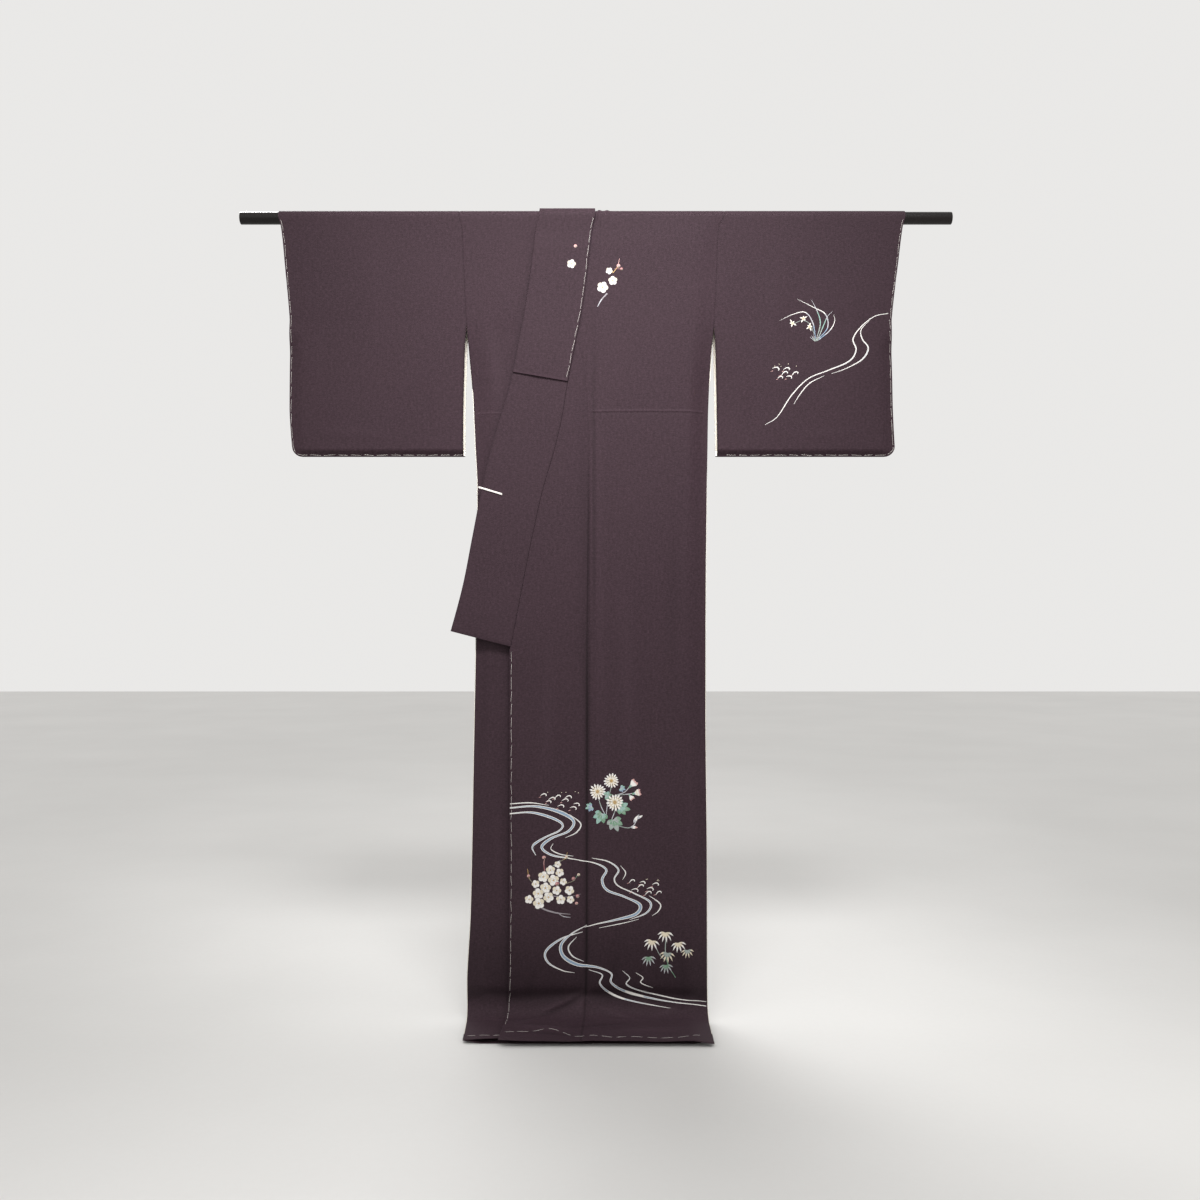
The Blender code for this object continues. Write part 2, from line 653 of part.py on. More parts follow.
def make_collars(collection, silk):
    """The interlined collar, the over-collar on it, and the folded right collar under the left front."""
    at_rod = collar_lift(0, 0)
    rows = neck_rows(at_rod, 0.0, NECK_LOOP, 0.0)
    for drop in [row * MM for row in COLLAR_ROWS]:
        slant = COLLAR_SLANT * ease((drop - SLANT_START) / SLANT_GROWS_OVER)
        rows.append(collar_row(drop - slant, drop, collar_lift, 0.0, 0.0))
    sheet(collection, "left_collar", silk("left_collar"), rows, COLLAR_WALL)

    above = COLLAR_WALL / 2 + SEAM_GAP + OVER_COLLAR_WALL / 2
    rows = neck_rows(at_rod, above, OVER_COLLAR_BACK_DROP, OVER_COLLAR_INSET)
    for drop in [row * MM for row in OVER_COLLAR_ROWS]:
        right = drop * OVER_COLLAR_RIGHT_DROP / OVER_COLLAR_LEFT_DROP
        rows.append(collar_row(drop, right, collar_lift, above, OVER_COLLAR_INSET))
    sheet(collection, "over_collar", silk("over_collar"), rows, OVER_COLLAR_WALL)

    rows = []
    lift = lambda x, drop: under_lift(x, drop) + COLLAR_EXTRA_GAP
    for reach in shoulder_reaches():
        seam = under_front_edge(0)
        widths = spread(seam, seam + FOLDED_COLLAR, ACROSS_FOLDED_COLLAR)
        rows.append([hang(x, reach, lift(x, 0)) for x in widths])
    for drop in [row * MM for row in COLLAR_ROWS]:
        seam = under_front_edge(drop)
        widths = spread(seam + SEAM_GAP, seam + FOLDED_COLLAR, ACROSS_FOLDED_COLLAR)
        rows.append([hang(x, SHOULDER_WRAP + drop, lift(x, drop)) for x in widths])
    sheet(collection, "right_collar", silk("right_collar"), rows, UNDER_COLLAR_WALL)


def make_tie(collection, thread):
    """The short tape round the collar's free edge, on the collar's face and behind it."""
    edge = read(COLLAR, "edge", TIE_DROP)
    face = COLLAR_WALL / 2 + SEAM_GAP + TIE_WALL / 2 + COLLAR_EXTRA_GAP
    rows = []
    for place in TIE_LINE:
        x = edge + place["inward"] * MM
        drop = TIE_DROP + TIE_FALL * place["inward"] * MM / TIE_LENGTH
        lift = collar_lift(max(x, edge), drop) + place["ahead"] * face
        reach = SHOULDER_WRAP + drop
        rows.append([hang(x, reach - TIE_HALF_WIDTH, lift), hang(x, reach + TIE_HALF_WIDTH, lift)])
    sheet(collection, "collar_tie", thread("collar_tie"), rows, TIE_WALL)


def main():
    for thing in list(bpy.data.objects):
        bpy.data.objects.remove(thing, do_unlink=True)
    collection = bpy.data.collections.new("silk_kimono")
    bpy.context.scene.collection.children.link(collection)
    silk = lambda name: principled(name + "_silk", SILK_COLOUR, 0.6)
    lining = lambda name: principled(name + "_silk", LINING_COLOUR, 0.6)
    make_rod(collection)
    make_bodies(collection, silk)
    make_okumi(collection, silk)
    make_sleeves(collection, silk)
    make_linings(collection, lining)
    make_collars(collection, silk)
    make_tie(collection, lining)


main()
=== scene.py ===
"""How the silk kimono looks: its cloth, collars, sewing and dyed pattern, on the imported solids' forms.

Metres, +Z up, -Y the front of the garment, +X the wearer's left, the origin on the rod's axis.
The sizes are those that the solids are made from, with the edges measured again. Tables are in millimetres.
"""

import math
import random

import bpy
import numpy as np
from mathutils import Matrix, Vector


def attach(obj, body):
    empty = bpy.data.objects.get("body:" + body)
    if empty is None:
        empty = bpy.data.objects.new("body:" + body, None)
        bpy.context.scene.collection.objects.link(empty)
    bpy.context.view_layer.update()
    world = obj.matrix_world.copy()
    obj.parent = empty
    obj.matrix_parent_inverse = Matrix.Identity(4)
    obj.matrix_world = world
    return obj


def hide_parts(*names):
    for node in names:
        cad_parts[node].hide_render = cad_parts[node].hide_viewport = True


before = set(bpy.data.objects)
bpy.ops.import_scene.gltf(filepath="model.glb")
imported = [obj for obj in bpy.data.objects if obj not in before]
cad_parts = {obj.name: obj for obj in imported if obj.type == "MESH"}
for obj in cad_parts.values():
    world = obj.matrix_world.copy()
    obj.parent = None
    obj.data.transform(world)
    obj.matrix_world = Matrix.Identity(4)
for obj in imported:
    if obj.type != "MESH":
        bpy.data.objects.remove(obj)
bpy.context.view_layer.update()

MM = 0.001


def table(names, *rows):
    """Rows of a table, each value under its column's name."""
    return tuple(dict(zip(names.split(), row)) for row in rows)


# ---------------------------------------------------------------- sizes shared with the solids
ROD_RADIUS = 12.2 * MM
CLOTH_WALL = 1.4 * MM
COLLAR_WALL = 2.4 * MM
UNDER_COLLAR_WALL = 1.8 * MM
OVER_COLLAR_WALL = 1.8 * MM
TIE_WALL = 1.2 * MM
SEAM_GAP = 0.3 * MM
ROD_GAP = 0.45 * MM
COLLAR_EXTRA_GAP = 0.2 * MM
COLLAR_STANDS_OFF = 0.5 * MM
COLLAR_EASE = 80 * MM
TOP_LIFT = ROD_RADIUS + ROD_GAP + CLOTH_WALL / 2
SHOULDER_WRAP = TOP_LIFT * math.pi / 2
REST_DEPTH = 1574 * MM
HEM_FORWARD = 144 * MM
BACK_HEM_SHORTER = 14 * MM
BEND_RADIUS = 38 * MM
BEND_BULGE = 16 * MM
BULGE_X = -32 * MM
BULGE_WIDTH = 62 * MM
CENTRE_X = -5 * MM
RIGHT_NECK_X = -75 * MM
SLIT_TOP = 204 * MM
OKUMI_START = 237 * MM
UNDER_OKUMI_X = 4 * MM
UNDER_EDGE_MOST = 130 * MM
UNDER_NECK_INSET = 6 * MM
UNDER_NECK_EASE = 330 * MM
UNDER_OKUMI_EASE = 160 * MM
COLLAR_END = 843 * MM
SIDE_EASE = 42 * MM
RIPPLE_EASE = 60 * MM
BACK_RIPPLE = -0.5
FLARE = 6 * MM
FLARE_WIDTH = 26 * MM
FLARE_START = 680 * MM
FLARE_GROWS_OVER = 200 * MM
FLATTENS_FROM = 1470 * MM
FLATTENS_OVER = 130 * MM
SLEEVE_DROP = 470 * MM
CUFF_OPENING = 222 * MM
CORNER_RADIUS = 21 * MM
SLEEVE_EDGE_EASE = 28 * MM
SLEEVE_BOTTOM_EASE = 15 * MM
LINING_INSET = 1.6 * MM
LINING_PROUD = 1.2 * MM
FURI_STEP = 3.0 * MM
FOLDED_COLLAR = 57 * MM
NECK_LOOP = 84 * MM
OVER_COLLAR_LEFT_DROP = 306 * MM
OVER_COLLAR_RIGHT_DROP = 324 * MM
OVER_COLLAR_BACK_DROP = 76 * MM
TIE_DROP = 533 * MM
TIE_LENGTH = 40 * MM
TIE_FALL = 12 * MM

# ---------------------------------------------------------------- sizes of the finer cloth
# how wide the panels count as when their columns are set out, and how far apart the columns lie
BODY_WIDTH = 232 * MM
OKUMI_WIDTH = 148 * MM
SLEEVE_WIDTH = 350 * MM
PANEL_STEP = 5 * MM
SLEEVE_STEP = 5.5 * MM
ROWS_ROUND_ROD = 17
SHELL = 1.0 * MM
COLLAR_SHELL = 2.2 * MM
UNDER_COLLAR_SHELL = 1.6 * MM
OVER_COLLAR_SHELL = 1.5 * MM
LINING_SHELL = 0.7 * MM
TUCK = 1.8 * MM
TUCK_DEPTH = 1.2 * MM
SLIT_STEP = 2.2 * MM
SEAM_ROLL = 0.8 * MM
HEM_FACING = 34 * MM
CUFF_FACING = 9 * MM
SEAM_ROLL_WIDTH = 1.7 * MM
# how dark the painted shade in the seam grooves is
SEAM_GROOVE_SHADE = 0.4
# how much paler free edges are, rubbed and with a painted sheen along the fold, and over what width
EDGE_WEAR_AND_SHEEN = 0.15
EDGE_WEAR_AND_SHEEN_WIDTH = 1.2 * MM
BAND_WIDTH = 9 * MM
PUCKER = 0.22 * MM
NECK_GATHERS = (6.5, 20.5)
GATHER_HEIGHT = 2.3 * MM
GATHER_WIDTH = 3.2 * MM
GATHER_DROP = 34 * MM
SHOULDER_EASE = 60 * MM
CREASES_CLEAR = 12 * MM
PUCKER_WIDTH = 7 * MM
PUCKER_EASE = 30 * MM
HEM_FULLER = 0.35 * MM
HEM_FULLER_WIDTH = 3.5 * MM
DYE_LIFT = 0.16 * MM
DYE_LAYER = 0.05 * MM
STITCH = 23 * MM
STITCH_GAP = 3.4 * MM
HEM_STITCH = (20 * MM, 7 * MM)
STITCH_STATIONS = 9
STITCH_SIDES = 6
HEM_STEP = 6 * MM
UNDER_HEM_STEP = -14 * MM
STITCH_INSET = 3.2 * MM
THREAD_WIDTH = 0.44 * MM
THREAD_HEIGHT = 0.36 * MM

# how far each layer stands out from the plane of the rod
LIFTS = table(
    "drop back under over side",
    (0, 13.35, 13.35, 13.35, 13.35), (60, 12.5, 11.8, 16.4, 12.9), (204, 10.5, 9.6, 16.2, 11.0),
    (344, 9.6, 8.6, 15.6, 0.52), (620, 9.0, 7.8, 14.8, 0.52), (1200, 9.0, 7.4, 14.4, 0.52),
    (1500, 8.0, 6.4, 12.6, 0.52), (1590, 6.0, 3.6, 7.6, 0.52), (1720, 6.0, 2.6, 5.2, 0.52),
)
# shallow upright folds: height, spacing and phase, and the drops over which they grow
RIPPLES = table(
    "height spacing phase start grows_over",
    (1.3, 195, 0.7, 150, 500), (0.7, 85, 2.1, 400, 700),
)
# the right body's outer edge: armhole seam, side slit, side seam
RIGHT_SIDE = table(
    "drop x",
    (0, -268.5), (22, -263.4), (94, -259.7), (204, -254.2), (263, -249.6), (322, -244.5), (361, -242.3),
    (400, -240.7), (454, -238.1), (525, -234.4), (596, -234.6), (830, -237.4), (1065, -241.8), (1241, -244.9),
    (1378, -248.2), (1503, -254.7), (1600, -252.7), (1700, -248.8),
)
LEFT_SIDE = table(
    "drop x",
    (0, 251.0), (22, 240.5), (95, 236.6), (204, 231.9), (263, 226.6), (322, 223.2), (361, 221.6), (400, 220.4),
    (517, 219.0), (596, 218.3), (752, 217.1), (987, 216.7), (1143, 218.1), (1241, 219.2), (1500, 219.8),
    (1600, 220.9), (1700, 219.9),
)
# the left collar: the seam to body and overlap panel, and the free outer edge
COLLAR = table(
    "drop seam edge",
    (0, -1.5, -111.0), (22, -6.2, -117.0), (64, -11.9, -122.5), (137, -20.4, -131.8), (194, -29.2, -141.2),
    (237, -37.6, -149.5), (323, -55.0, -166.4), (398, -67.6, -188.4), (455, -81.0, -205.0),
    (537, -104.5, -224.3), (630, -125.4, -242.5), (728, -144.8, -261.8), (843, -166.4, -292.2),
)
OKUMI_SEAM = table(
    "drop x",
    (237, -37.6), (290, -25.6), (375, -17.7), (520, -14.8), (850, -17.4), (1240, -17.7), (1480, -19.0),
    (1700, -27.5),
)
# the left overlap panel's free edge
FRONT_EDGE = table(
    "drop x",
    (843, -168.5), (1240, -168.5), (1480, -170.5), (1590, -175.0), (1700, -181.0),
)
# the cuff edge, and below the armhole the open edge next to the body
RIGHT_SLEEVE = table(
    "drop open_edge cuff_edge",
    (0, -254.5, -623.0), (22, -254.5, -617.0), (94, -254.5, -609.8), (204, -254.5, -600.7),
    (240, -258.0, -601.8), (311, -260.3, -603.0), (383, -262.2, -603.5), (470, -262.6, -598.5),
)
LEFT_SLEEVE = table(
    "drop open_edge cuff_edge",
    (0, 232.2, 606.5), (22, 232.2, 600.8), (95, 232.2, 592.0), (204, 232.2, 579.9), (240, 235.2, 580.8),
    (311, 237.4, 583.2), (383, 238.8, 584.7), (470, 240.2, 588.5),
)

# Creases: the middle, the lean from upright in degrees, the length, the half width, how far the
# ends bow aside, the share of the length that fades out, the height (- is a trough), and how much it marks
# the colour
# the last column is painted shading: painted highlight on a ridge, painted shade in a trough
CREASE = "x drop lean length width bow fade height mark"
# two fold lines beside the overlap seam with a ridge between, and the soft band that they turn into
OVER_CREASES = table(
    CREASE,
    (-4, 545, 0, 640, 3.2, 1, 0.6, -1.0, -0.42), (-14, 790, 0, 780, 3.2, 1, 0.6, -0.9, -0.3),
    (-9, 620, 0, 560, 3.0, 1, 0.8, 0.8, 0.12), (-18, 1190, 0, 880, 4.8, 1, 0.6, -1.2, -0.5),
    (-26, 640, 0, 900, 9, -2, 0.6, -1.5, -0.1), (6, 700, 1, 1000, 9, 2, 0.6, 0.9, 0.07),
    # tuck at the waist
    (101, 381, 90, 232, 1.3, 1.5, 0.1, 0.6, 0.2), (101, 385, 90, 232, 2.4, 1, 0.1, -0.35, -0.14),
    # soft fold from the neck, and long shallow ones down the front
    (-3, 270, 0, 260, 5, 2, 0.8, -0.7, -0.12), (62, 930, 2, 640, 14, 5, 1, 0.9, 0.08),
    (150, 760, -1, 520, 11, -4, 1, -0.8, -0.14), (-96, 1010, -3, 430, 12, 4, 1, 0.9, 0.08),
    (188, 1190, 1, 480, 9, 3, 1, 0.7, 0.08),
    # where the hem turns on to the floor
    (-62, 1498, 12, 150, 8, 3, 1, 1.1, 0.08), (-128, 1512, -14, 120, 7, -3, 1, -0.9, -0.14),
    (34, 1486, -9, 210, 12, 4, 1, -1.2, -0.14), (101, 1508, -5, 130, 8, 2, 1, 1.0, 0.08),
    (170, 1494, 6, 180, 10, -3, 1, -0.8, -0.14), (20, 1526, 90, 560, 13, 9, 0.3, -4.2, -0.3),
    (-62, 1546, -61, 140, 6.0, 5, 0.8, 3.2, 0.24), (-70, 1558, -58, 130, 5.0, 5, 0.8, -2.6, -0.5),
    (-24, 1540, -30, 90, 9.0, 3, 0.9, 2.0, 0.3), (128, 1548, 72, 120, 4, -5, 0.8, -1.1, -0.2),
    (60, 1598, 84, 150, 5, -5, 0.8, 0.8, 0.08), (-104, 1640, 84, 168, 11, -8, 0.9, 3.4, 0.2),
    (-84, 1666, 80, 130, 8, -5, 0.9, -1.0, -0.3), (-128, 1604, -62, 110, 7, 5, 0.9, 1.8, 0.1),
    (96, 1652, 98, 190, 10, 6, 0.9, 2.0, 0.16), (150, 1560, -58, 120, 6, 5, 0.9, 1.4, 0.16),
    (40, 1572, 64, 140, 6, -6, 0.9, 1.4, 0.14), (8, 1622, 97, 170, 7, 4, 0.9, -1.2, -0.26),
    (164, 1583, 97, 90, 4, 3, 0.8, 0.7, 0.08),
)
UNDER_CREASES = table(
    CREASE,
    (-205, 385, 90, 66, 1.3, 0.8, 0.2, 0.5, 0.16), (-196, 300, 7, 330, 12, 5, 1, 0.9, 0.08),
    (-222, 960, -1, 420, 9, 3, 1, -0.9, -0.14), (-192, 1240, 2, 380, 8, -3, 1, 0.8, 0.08),
    (-214, 1512, 14, 130, 7, 2, 1, 1.0, 0.08), (-212, 1526, 90, 120, 11, 3, 0.4, -3.0, -0.3),
    (-196, 1588, 74, 76, 4, 3, 0.8, 0.7, 0.08),
)
BACK_CREASES = table(
    CREASE,
    (104, 392, 90, 236, 2.0, 1, 0.1, 0.6, 0.03), (-122, 390, 90, 240, 2.0, -1, 0.1, 0.6, 0.03),
    (-62, 300, 5, 460, 14, 6, 1, 1.4, 0.03), (58, 330, -7, 420, 12, -5, 1, 1.2, 0.03),
    (-150, 760, 1, 620, 15, 6, 1, 1.2, 0.03), (86, 900, -2, 700, 13, -5, 1, 1.1, 0.03),
    (168, 640, 1, 380, 10, 3, 1, -0.9, -0.06), (-48, 1130, 2, 520, 11, 4, 1, 1.0, 0.03),
    (-190, 1290, -2, 330, 9, -3, 1, 0.8, 0.03), (148, 1320, 3, 360, 11, 4, 1, 1.0, 0.03),
    (-116, 1490, 11, 160, 9, 3, 1, 1.0, 0.03), (30, 1500, -8, 150, 8, -3, 1, -0.9, -0.06),
    (120, 1506, -10, 120, 8, 2, 1, 0.9, 0.03),
)
SLEEVE_CREASES = {
    ("right", 1): table(
        CREASE,
        (-430, 150, 3, 320, 20, 6, 1, 0.9, 0.03), (-545, 300, -4, 240, 14, 4, 1, 0.8, 0.03),
        (-330, 380, 6, 170, 12, -3, 1, -0.8, -0.06), (-470, 425, 86, 210, 8, 3, 1, 0.7, 0.03),
    ),
    ("right", -1): table(
        CREASE,
        (-400, 190, -5, 340, 18, 5, 1, 1.0, 0.03), (-520, 280, 4, 260, 13, -4, 1, 0.9, 0.03),
        (-340, 410, 80, 150, 9, 3, 1, 0.7, 0.03),
    ),
    ("left", 1): table(
        CREASE,
        (350, 170, -3, 330, 19, -5, 1, 0.9, 0.03), (505, 250, 5, 280, 15, 5, 1, 0.8, 0.03),
        (300, 390, -5, 150, 11, 3, 1, -0.7, -0.06), (450, 428, 94, 190, 8, -3, 1, 0.7, 0.03),
    ),
    ("left", -1): table(
        CREASE,
        (390, 210, 4, 320, 17, -5, 1, 1.0, 0.03), (500, 320, -6, 220, 12, 4, 1, 0.9, 0.03),
        (320, 405, 98, 160, 9, -3, 1, 0.7, 0.03),
    ),
}
# how close together the rows of points lie, closer at the tuck and where the hem turns
ROW_SPACING = table(
    "until every",
    (364, 8.0), (398, 1.3), (1460, 10.0), (1702, 3.2),
)
NEAR_EDGE = (0, 0.6, 1.3, 2.2, 3.6, 6.0, 9.0, 12.5, 16.5)


# ---------------------------------------------------------------- the form of each layer
def ease(share):
    """From 0 to 1 with no kink at either end."""
    share = np.clip(share, 0.0, 1.0)
    return share * share * (3 - 2 * share)


def ease_in(drop, start, over):
    """0 above the start, and 1 once over that much further down."""
    return ease((drop - start) / over)


def swell(away, width):
    """A rounded rise: 1 in the middle and next to nothing twice the width away."""
    return np.exp(-((away / width) ** 2))


def fading(away, width):
    """1 up to an edge, and a third of it each width beyond."""
    return np.exp(-np.maximum(away, 0) / width)


def limited(slope, rise):
    """A slope kept between none and three times the rise, so that a curve never overshoots its rows."""
    bound = np.sign(rise) * np.minimum(abs(slope), 3 * abs(rise))
    return np.where(slope * rise <= 0, 0.0, bound)


def read(rows, column, drop):
    """A column of a table at drops in metres, joined smoothly between its rows."""
    levels = np.array([row["drop"] for row in rows], float)
    values = np.array([row[column] for row in rows], float)
    level = np.clip(np.asarray(drop, float) / MM, levels[0], levels[-1])
    at = np.clip(np.searchsorted(levels, level) - 1, 0, len(levels) - 2)
    before = np.maximum(at - 1, 0)
    after = np.minimum(at + 2, len(levels) - 1)
    span = levels[at + 1] - levels[at]
    rise = values[at + 1] - values[at]
    slope_in = (values[at + 1] - values[before]) / (levels[at + 1] - levels[before]) * span
    slope_out = (values[after] - values[at]) / (levels[after] - levels[at]) * span
    slope_in = limited(np.where(at == 0, rise, slope_in), rise)
    slope_out = limited(np.where(at == len(levels) - 2, rise, slope_out), rise)
    part = (level - levels[at]) / span
    curve = (
        (2 * part**3 - 3 * part**2 + 1) * values[at]
        + (part**3 - 2 * part**2 + part) * slope_in
        + (3 * part**2 - 2 * part**3) * values[at + 1]
        + (part**3 - part**2) * slope_out
    )
    return curve * MM


def bend_radius(x):
    """The radius of the turn on to the floor, wider where the overlap seam pushes the cloth up."""
    return BEND_RADIUS + BEND_BULGE * swell(x - BULGE_X, BULGE_WIDTH)


def hem_drop(x):
    """The front hem's drop at each x."""
    return REST_DEPTH + HEM_FORWARD + bend_radius(x) * (math.pi / 2 - 2)


def hang(x, reach, lift):
    """Points of a layer: over the rod, straight down, round the turn and forward on the floor."""
    x, reach, lift = np.broadcast_arrays(np.asarray(x, float), reach, lift)
    ahead = np.where(reach < 0, -lift, lift)
    over = np.clip(reach / SHOULDER_WRAP, -1, 1) * math.pi / 2
    drop = abs(reach) - SHOULDER_WRAP
    radius = bend_radius(x)
    straight = REST_DEPTH - radius
    turn = np.clip((drop - straight) / radius, 0, math.pi / 2)
    run = np.maximum(drop - straight - radius * math.pi / 2, 0)
    y = np.where(drop < 0, -lift * np.sin(over), -ahead)
    z = np.where(drop < 0, lift * np.cos(over), -drop)
    bent = drop > straight
    y = np.where(bent, -(radius * (1 - np.cos(turn)) + ahead * np.cos(turn)) - run, y)
    z = np.where(bent, -(straight + (radius - ahead) * np.sin(turn)), z)
    return np.stack([x, y, z], axis=-1)


def ripple(x, drop):
    """The shallow upright folds that all the front layers share."""
    inside = ease((x - read(RIGHT_SIDE, "x", drop)) / RIPPLE_EASE)
    inside = inside * ease((read(LEFT_SIDE, "x", drop) - x) / RIPPLE_EASE)
    inside = inside * (1 - 0.5 * ease_in(drop, FLATTENS_FROM, FLATTENS_OVER))
    total = 0.0
    for fold in RIPPLES:
        grown = ease_in(drop / MM, fold["start"], fold["grows_over"])
        wave = np.sin(2 * math.pi * x / MM / fold["spacing"] + fold["phase"])
        total = total + fold["height"] * MM * wave * grown
    return total * inside


def creased(creases, x, drop, column="height"):
    """The height of a table of creases in metres, or how much painted shading they add to the cloth's colour.
    """
    unit = MM if column == "height" else 1.0
    total = 0.0
    for fold in creases:
        lean = math.radians(fold["lean"])
        right = x / MM - fold["x"]
        down = drop / MM - fold["drop"]
        share = (right * math.sin(lean) + down * math.cos(lean)) / (fold["length"] / 2)
        across = right * math.cos(lean) - down * math.sin(lean) + fold["bow"] * share**2
        shown = ease((1 - abs(share)) / fold["fade"])
        total = total + fold[column] * unit * swell(across, fold["width"]) * shown
    return total


def body_lift(layer, side_table, creases):
    """The lift of a body layer, drawn in to its neighbour at the side."""

    def lift(x, drop):
        side = read(LIFTS, "side", drop)
        share = BACK_RIPPLE if layer == "back" else 1
        middle = read(LIFTS, layer, drop) + ripple(x, drop) * share
        clear = abs(read(side_table, "x", drop) - x)
        detail = creased(creases, x, drop) * ease(drop / SHOULDER_EASE) * ease(clear / CREASES_CLEAR)
        gathers = sum(swell(x - at * MM, GATHER_WIDTH) for at in NECK_GATHERS)
        gathers = gathers * GATHER_HEIGHT * (1 - ease(drop / GATHER_DROP))
        raised = side + (middle - side) * ease(clear / SIDE_EASE)
        if layer == "back":
            return raised + detail + gathers
        return np.maximum(raised + detail, side + 0.4 * (raised - side)) + gathers

    return lift


under_lift = body_lift("under", RIGHT_SIDE, UNDER_CREASES)
over_lift_plain = body_lift("over", LEFT_SIDE, OVER_CREASES)
left_back_lift = body_lift("back", LEFT_SIDE, BACK_CREASES)
right_back_lift = body_lift("back", RIGHT_SIDE, BACK_CREASES)


def free_edge_flare(x, drop):
    """How much more the left front's free edge and the collar's end stand off the right front."""
    edge = read(FRONT_EDGE, "x", drop)
    shown = ease_in(drop, FLARE_START, FLARE_GROWS_OVER)
    shown = shown * (1 - 0.8 * ease_in(drop, FLATTENS_FROM, FLATTENS_OVER))
    return FLARE * shown * fading(x - edge, FLARE_WIDTH)


def puckered(drop, edge, width):
    """The slight puckers beside a line of stitches, from the distance to it."""
    wave = PUCKER * np.sin(drop / (STITCH + STITCH_GAP) * 2 * math.pi)
    return wave * swell(edge, width)


def over_lift(x, drop):
    """The left front and its overlap panel, with the stitched edge's slight puckers."""
    edge = np.maximum(x - read(FRONT_EDGE, "x", drop), 0)
    puckers = puckered(drop, edge, PUCKER_WIDTH) * ease_in(drop, COLLAR_END, PUCKER_EASE)
    return over_lift_plain(x, drop) + free_edge_flare(x, drop) + puckers


def collar_lift(x, drop):
    """The left collar lies in line with the left front, and over the folded right collar at the rod."""
    at_rod = TOP_LIFT + UNDER_COLLAR_WALL / 2 + SEAM_GAP + COLLAR_WALL / 2 + COLLAR_EXTRA_GAP
    below = read(LIFTS, "over", drop) + ripple(x, drop) + free_edge_flare(x, drop) + COLLAR_STANDS_OFF
    return at_rod + (below - at_rod) * ease(drop / COLLAR_EASE)


def neck_edge(drop):
    """The left body's inner edge: the collar seam, then the overlap panel's seam."""
    collar = read(COLLAR, "seam", drop)
    seam = read(OKUMI_SEAM, "x", drop)
    return np.where(drop < OKUMI_START, collar, seam) + SEAM_GAP


def under_neck_edge(drop):
    """The right body's inner edge, the left one's mirror image drawn in under the collar at the top."""
    mirrored = 2 * CENTRE_X - read(COLLAR, "seam", drop) - UNDER_NECK_INSET
    return RIGHT_NECK_X + (mirrored - RIGHT_NECK_X) * ease(drop / UNDER_NECK_EASE)


def under_okumi_seam(drop):
    """The seam between the right body and its overlap panel."""
    start = under_neck_edge(OKUMI_START)
    seam = start + (UNDER_OKUMI_X - start) * ease_in(drop, OKUMI_START, UNDER_OKUMI_EASE)
    return np.where(drop < OKUMI_START, under_neck_edge(drop), seam)


def under_front_edge(drop):
    """The right overlap panel's inner edge: the folded collar's seam, then its free edge."""
    return np.minimum(under_neck_edge(np.minimum(drop, COLLAR_END)), UNDER_EDGE_MOST)


# ---------------------------------------------------------------- materials
def ink(red, green, blue):
    """A colour from 0 to 255 as the linear values that shaders take."""
    return tuple(((value / 255 + 0.055) / 1.055) ** 2.4 for value in (red, green, blue))


class Nodes:
    """A material's node tree, with short calls for the nodes used here."""

    def __init__(self, name):
        self.material = bpy.data.materials.new(name)
        self.material.use_nodes = True
        self.tree = self.material.node_tree
        self.shader = self.tree.nodes["Principled BSDF"]

    def add(self, kind, settings=None, inputs=None):
        """One node, its settings, and its inputs: a value or another node's output."""
        node = self.tree.nodes.new(kind)
        for key, value in (settings or {}).items():
            setattr(node, key, value)
        for key, value in (inputs or {}).items():
            self.join(value, node.inputs[key])
        return node

    def join(self, value, socket):
        if isinstance(value, bpy.types.NodeSocket):
            self.tree.links.new(value, socket)
        else:
            socket.default_value = value

    def cloth(self):
        """The place on the cloth, in metres along the weft and the warp."""
        return self.add("ShaderNodeUVMap", {"uv_map": "cloth"}).outputs["UV"]

    def rub(self):
        """Lightening (+, rubbed edges and painted highlight) and darkening (-, painted shade) of the cloth."""
        return self.add("ShaderNodeAttribute", {"attribute_name": "rub"}).outputs["Fac"]

    def mapped(self, vector, key, value):
        """Coordinates scaled or turned."""
        return self.add("ShaderNodeMapping", inputs={"Vector": vector, key: value}).outputs["Vector"]

    def noise(self, vector, scale, detail, roughness):
        inputs = {"Vector": vector, "Scale": scale, "Detail": detail, "Roughness": roughness}
        return self.add("ShaderNodeTexNoise", inputs=inputs).outputs["Fac"]

    def between(self, value, low, high, to_low, to_high):
        """A value moved from one range to another."""
        inputs = {"Value": value, "From Min": low, "From Max": high, "To Min": to_low, "To Max": to_high}
        return self.add("ShaderNodeMapRange", inputs=inputs).outputs["Result"]

    def sum(self, first, second, weight):
        """One value plus another times a weight."""
        inputs = {0: second, 1: weight, 2: first}
        return self.add("ShaderNodeMath", {"operation": "MULTIPLY_ADD"}, inputs).outputs[0]

    def mixed(self, share, first, second):
        """Two colours mixed."""
        node = self.add("ShaderNodeMix", {"data_type": "RGBA"})
        self.join(share, node.inputs[0])
        for colour, socket in ((first, node.inputs[6]), (second, node.inputs[7])):
            self.join((*colour, 1) if isinstance(colour, tuple) else colour, socket)
        return node.outputs[2]

    def tinted(self, colour, *tints):
        """A colour with others over it. Each goes from a share to another as a value goes from low to high."""
        for value, spread, tint in tints:
            colour = self.mixed(self.between(value, *spread), colour, ink(*tint))
        return colour

    def finished(self, colour, matt, relief, looks):
        """The material: its colour, roughness, relief (height, strength, mm) and the shader's other inputs."""
        self.join(colour, self.shader.inputs["Base Color"])
        self.join(self.between(*matt), self.shader.inputs["Roughness"])
        for key, value in looks.items():
            self.shader.inputs[key].default_value = value
        height, strength, depth = relief
        inputs = {"Height": height, "Strength": strength, "Distance": depth * MM}
        self.join(self.add("ShaderNodeBump", inputs=inputs).outputs["Normal"], self.shader.inputs["Normal"])
        return self.material


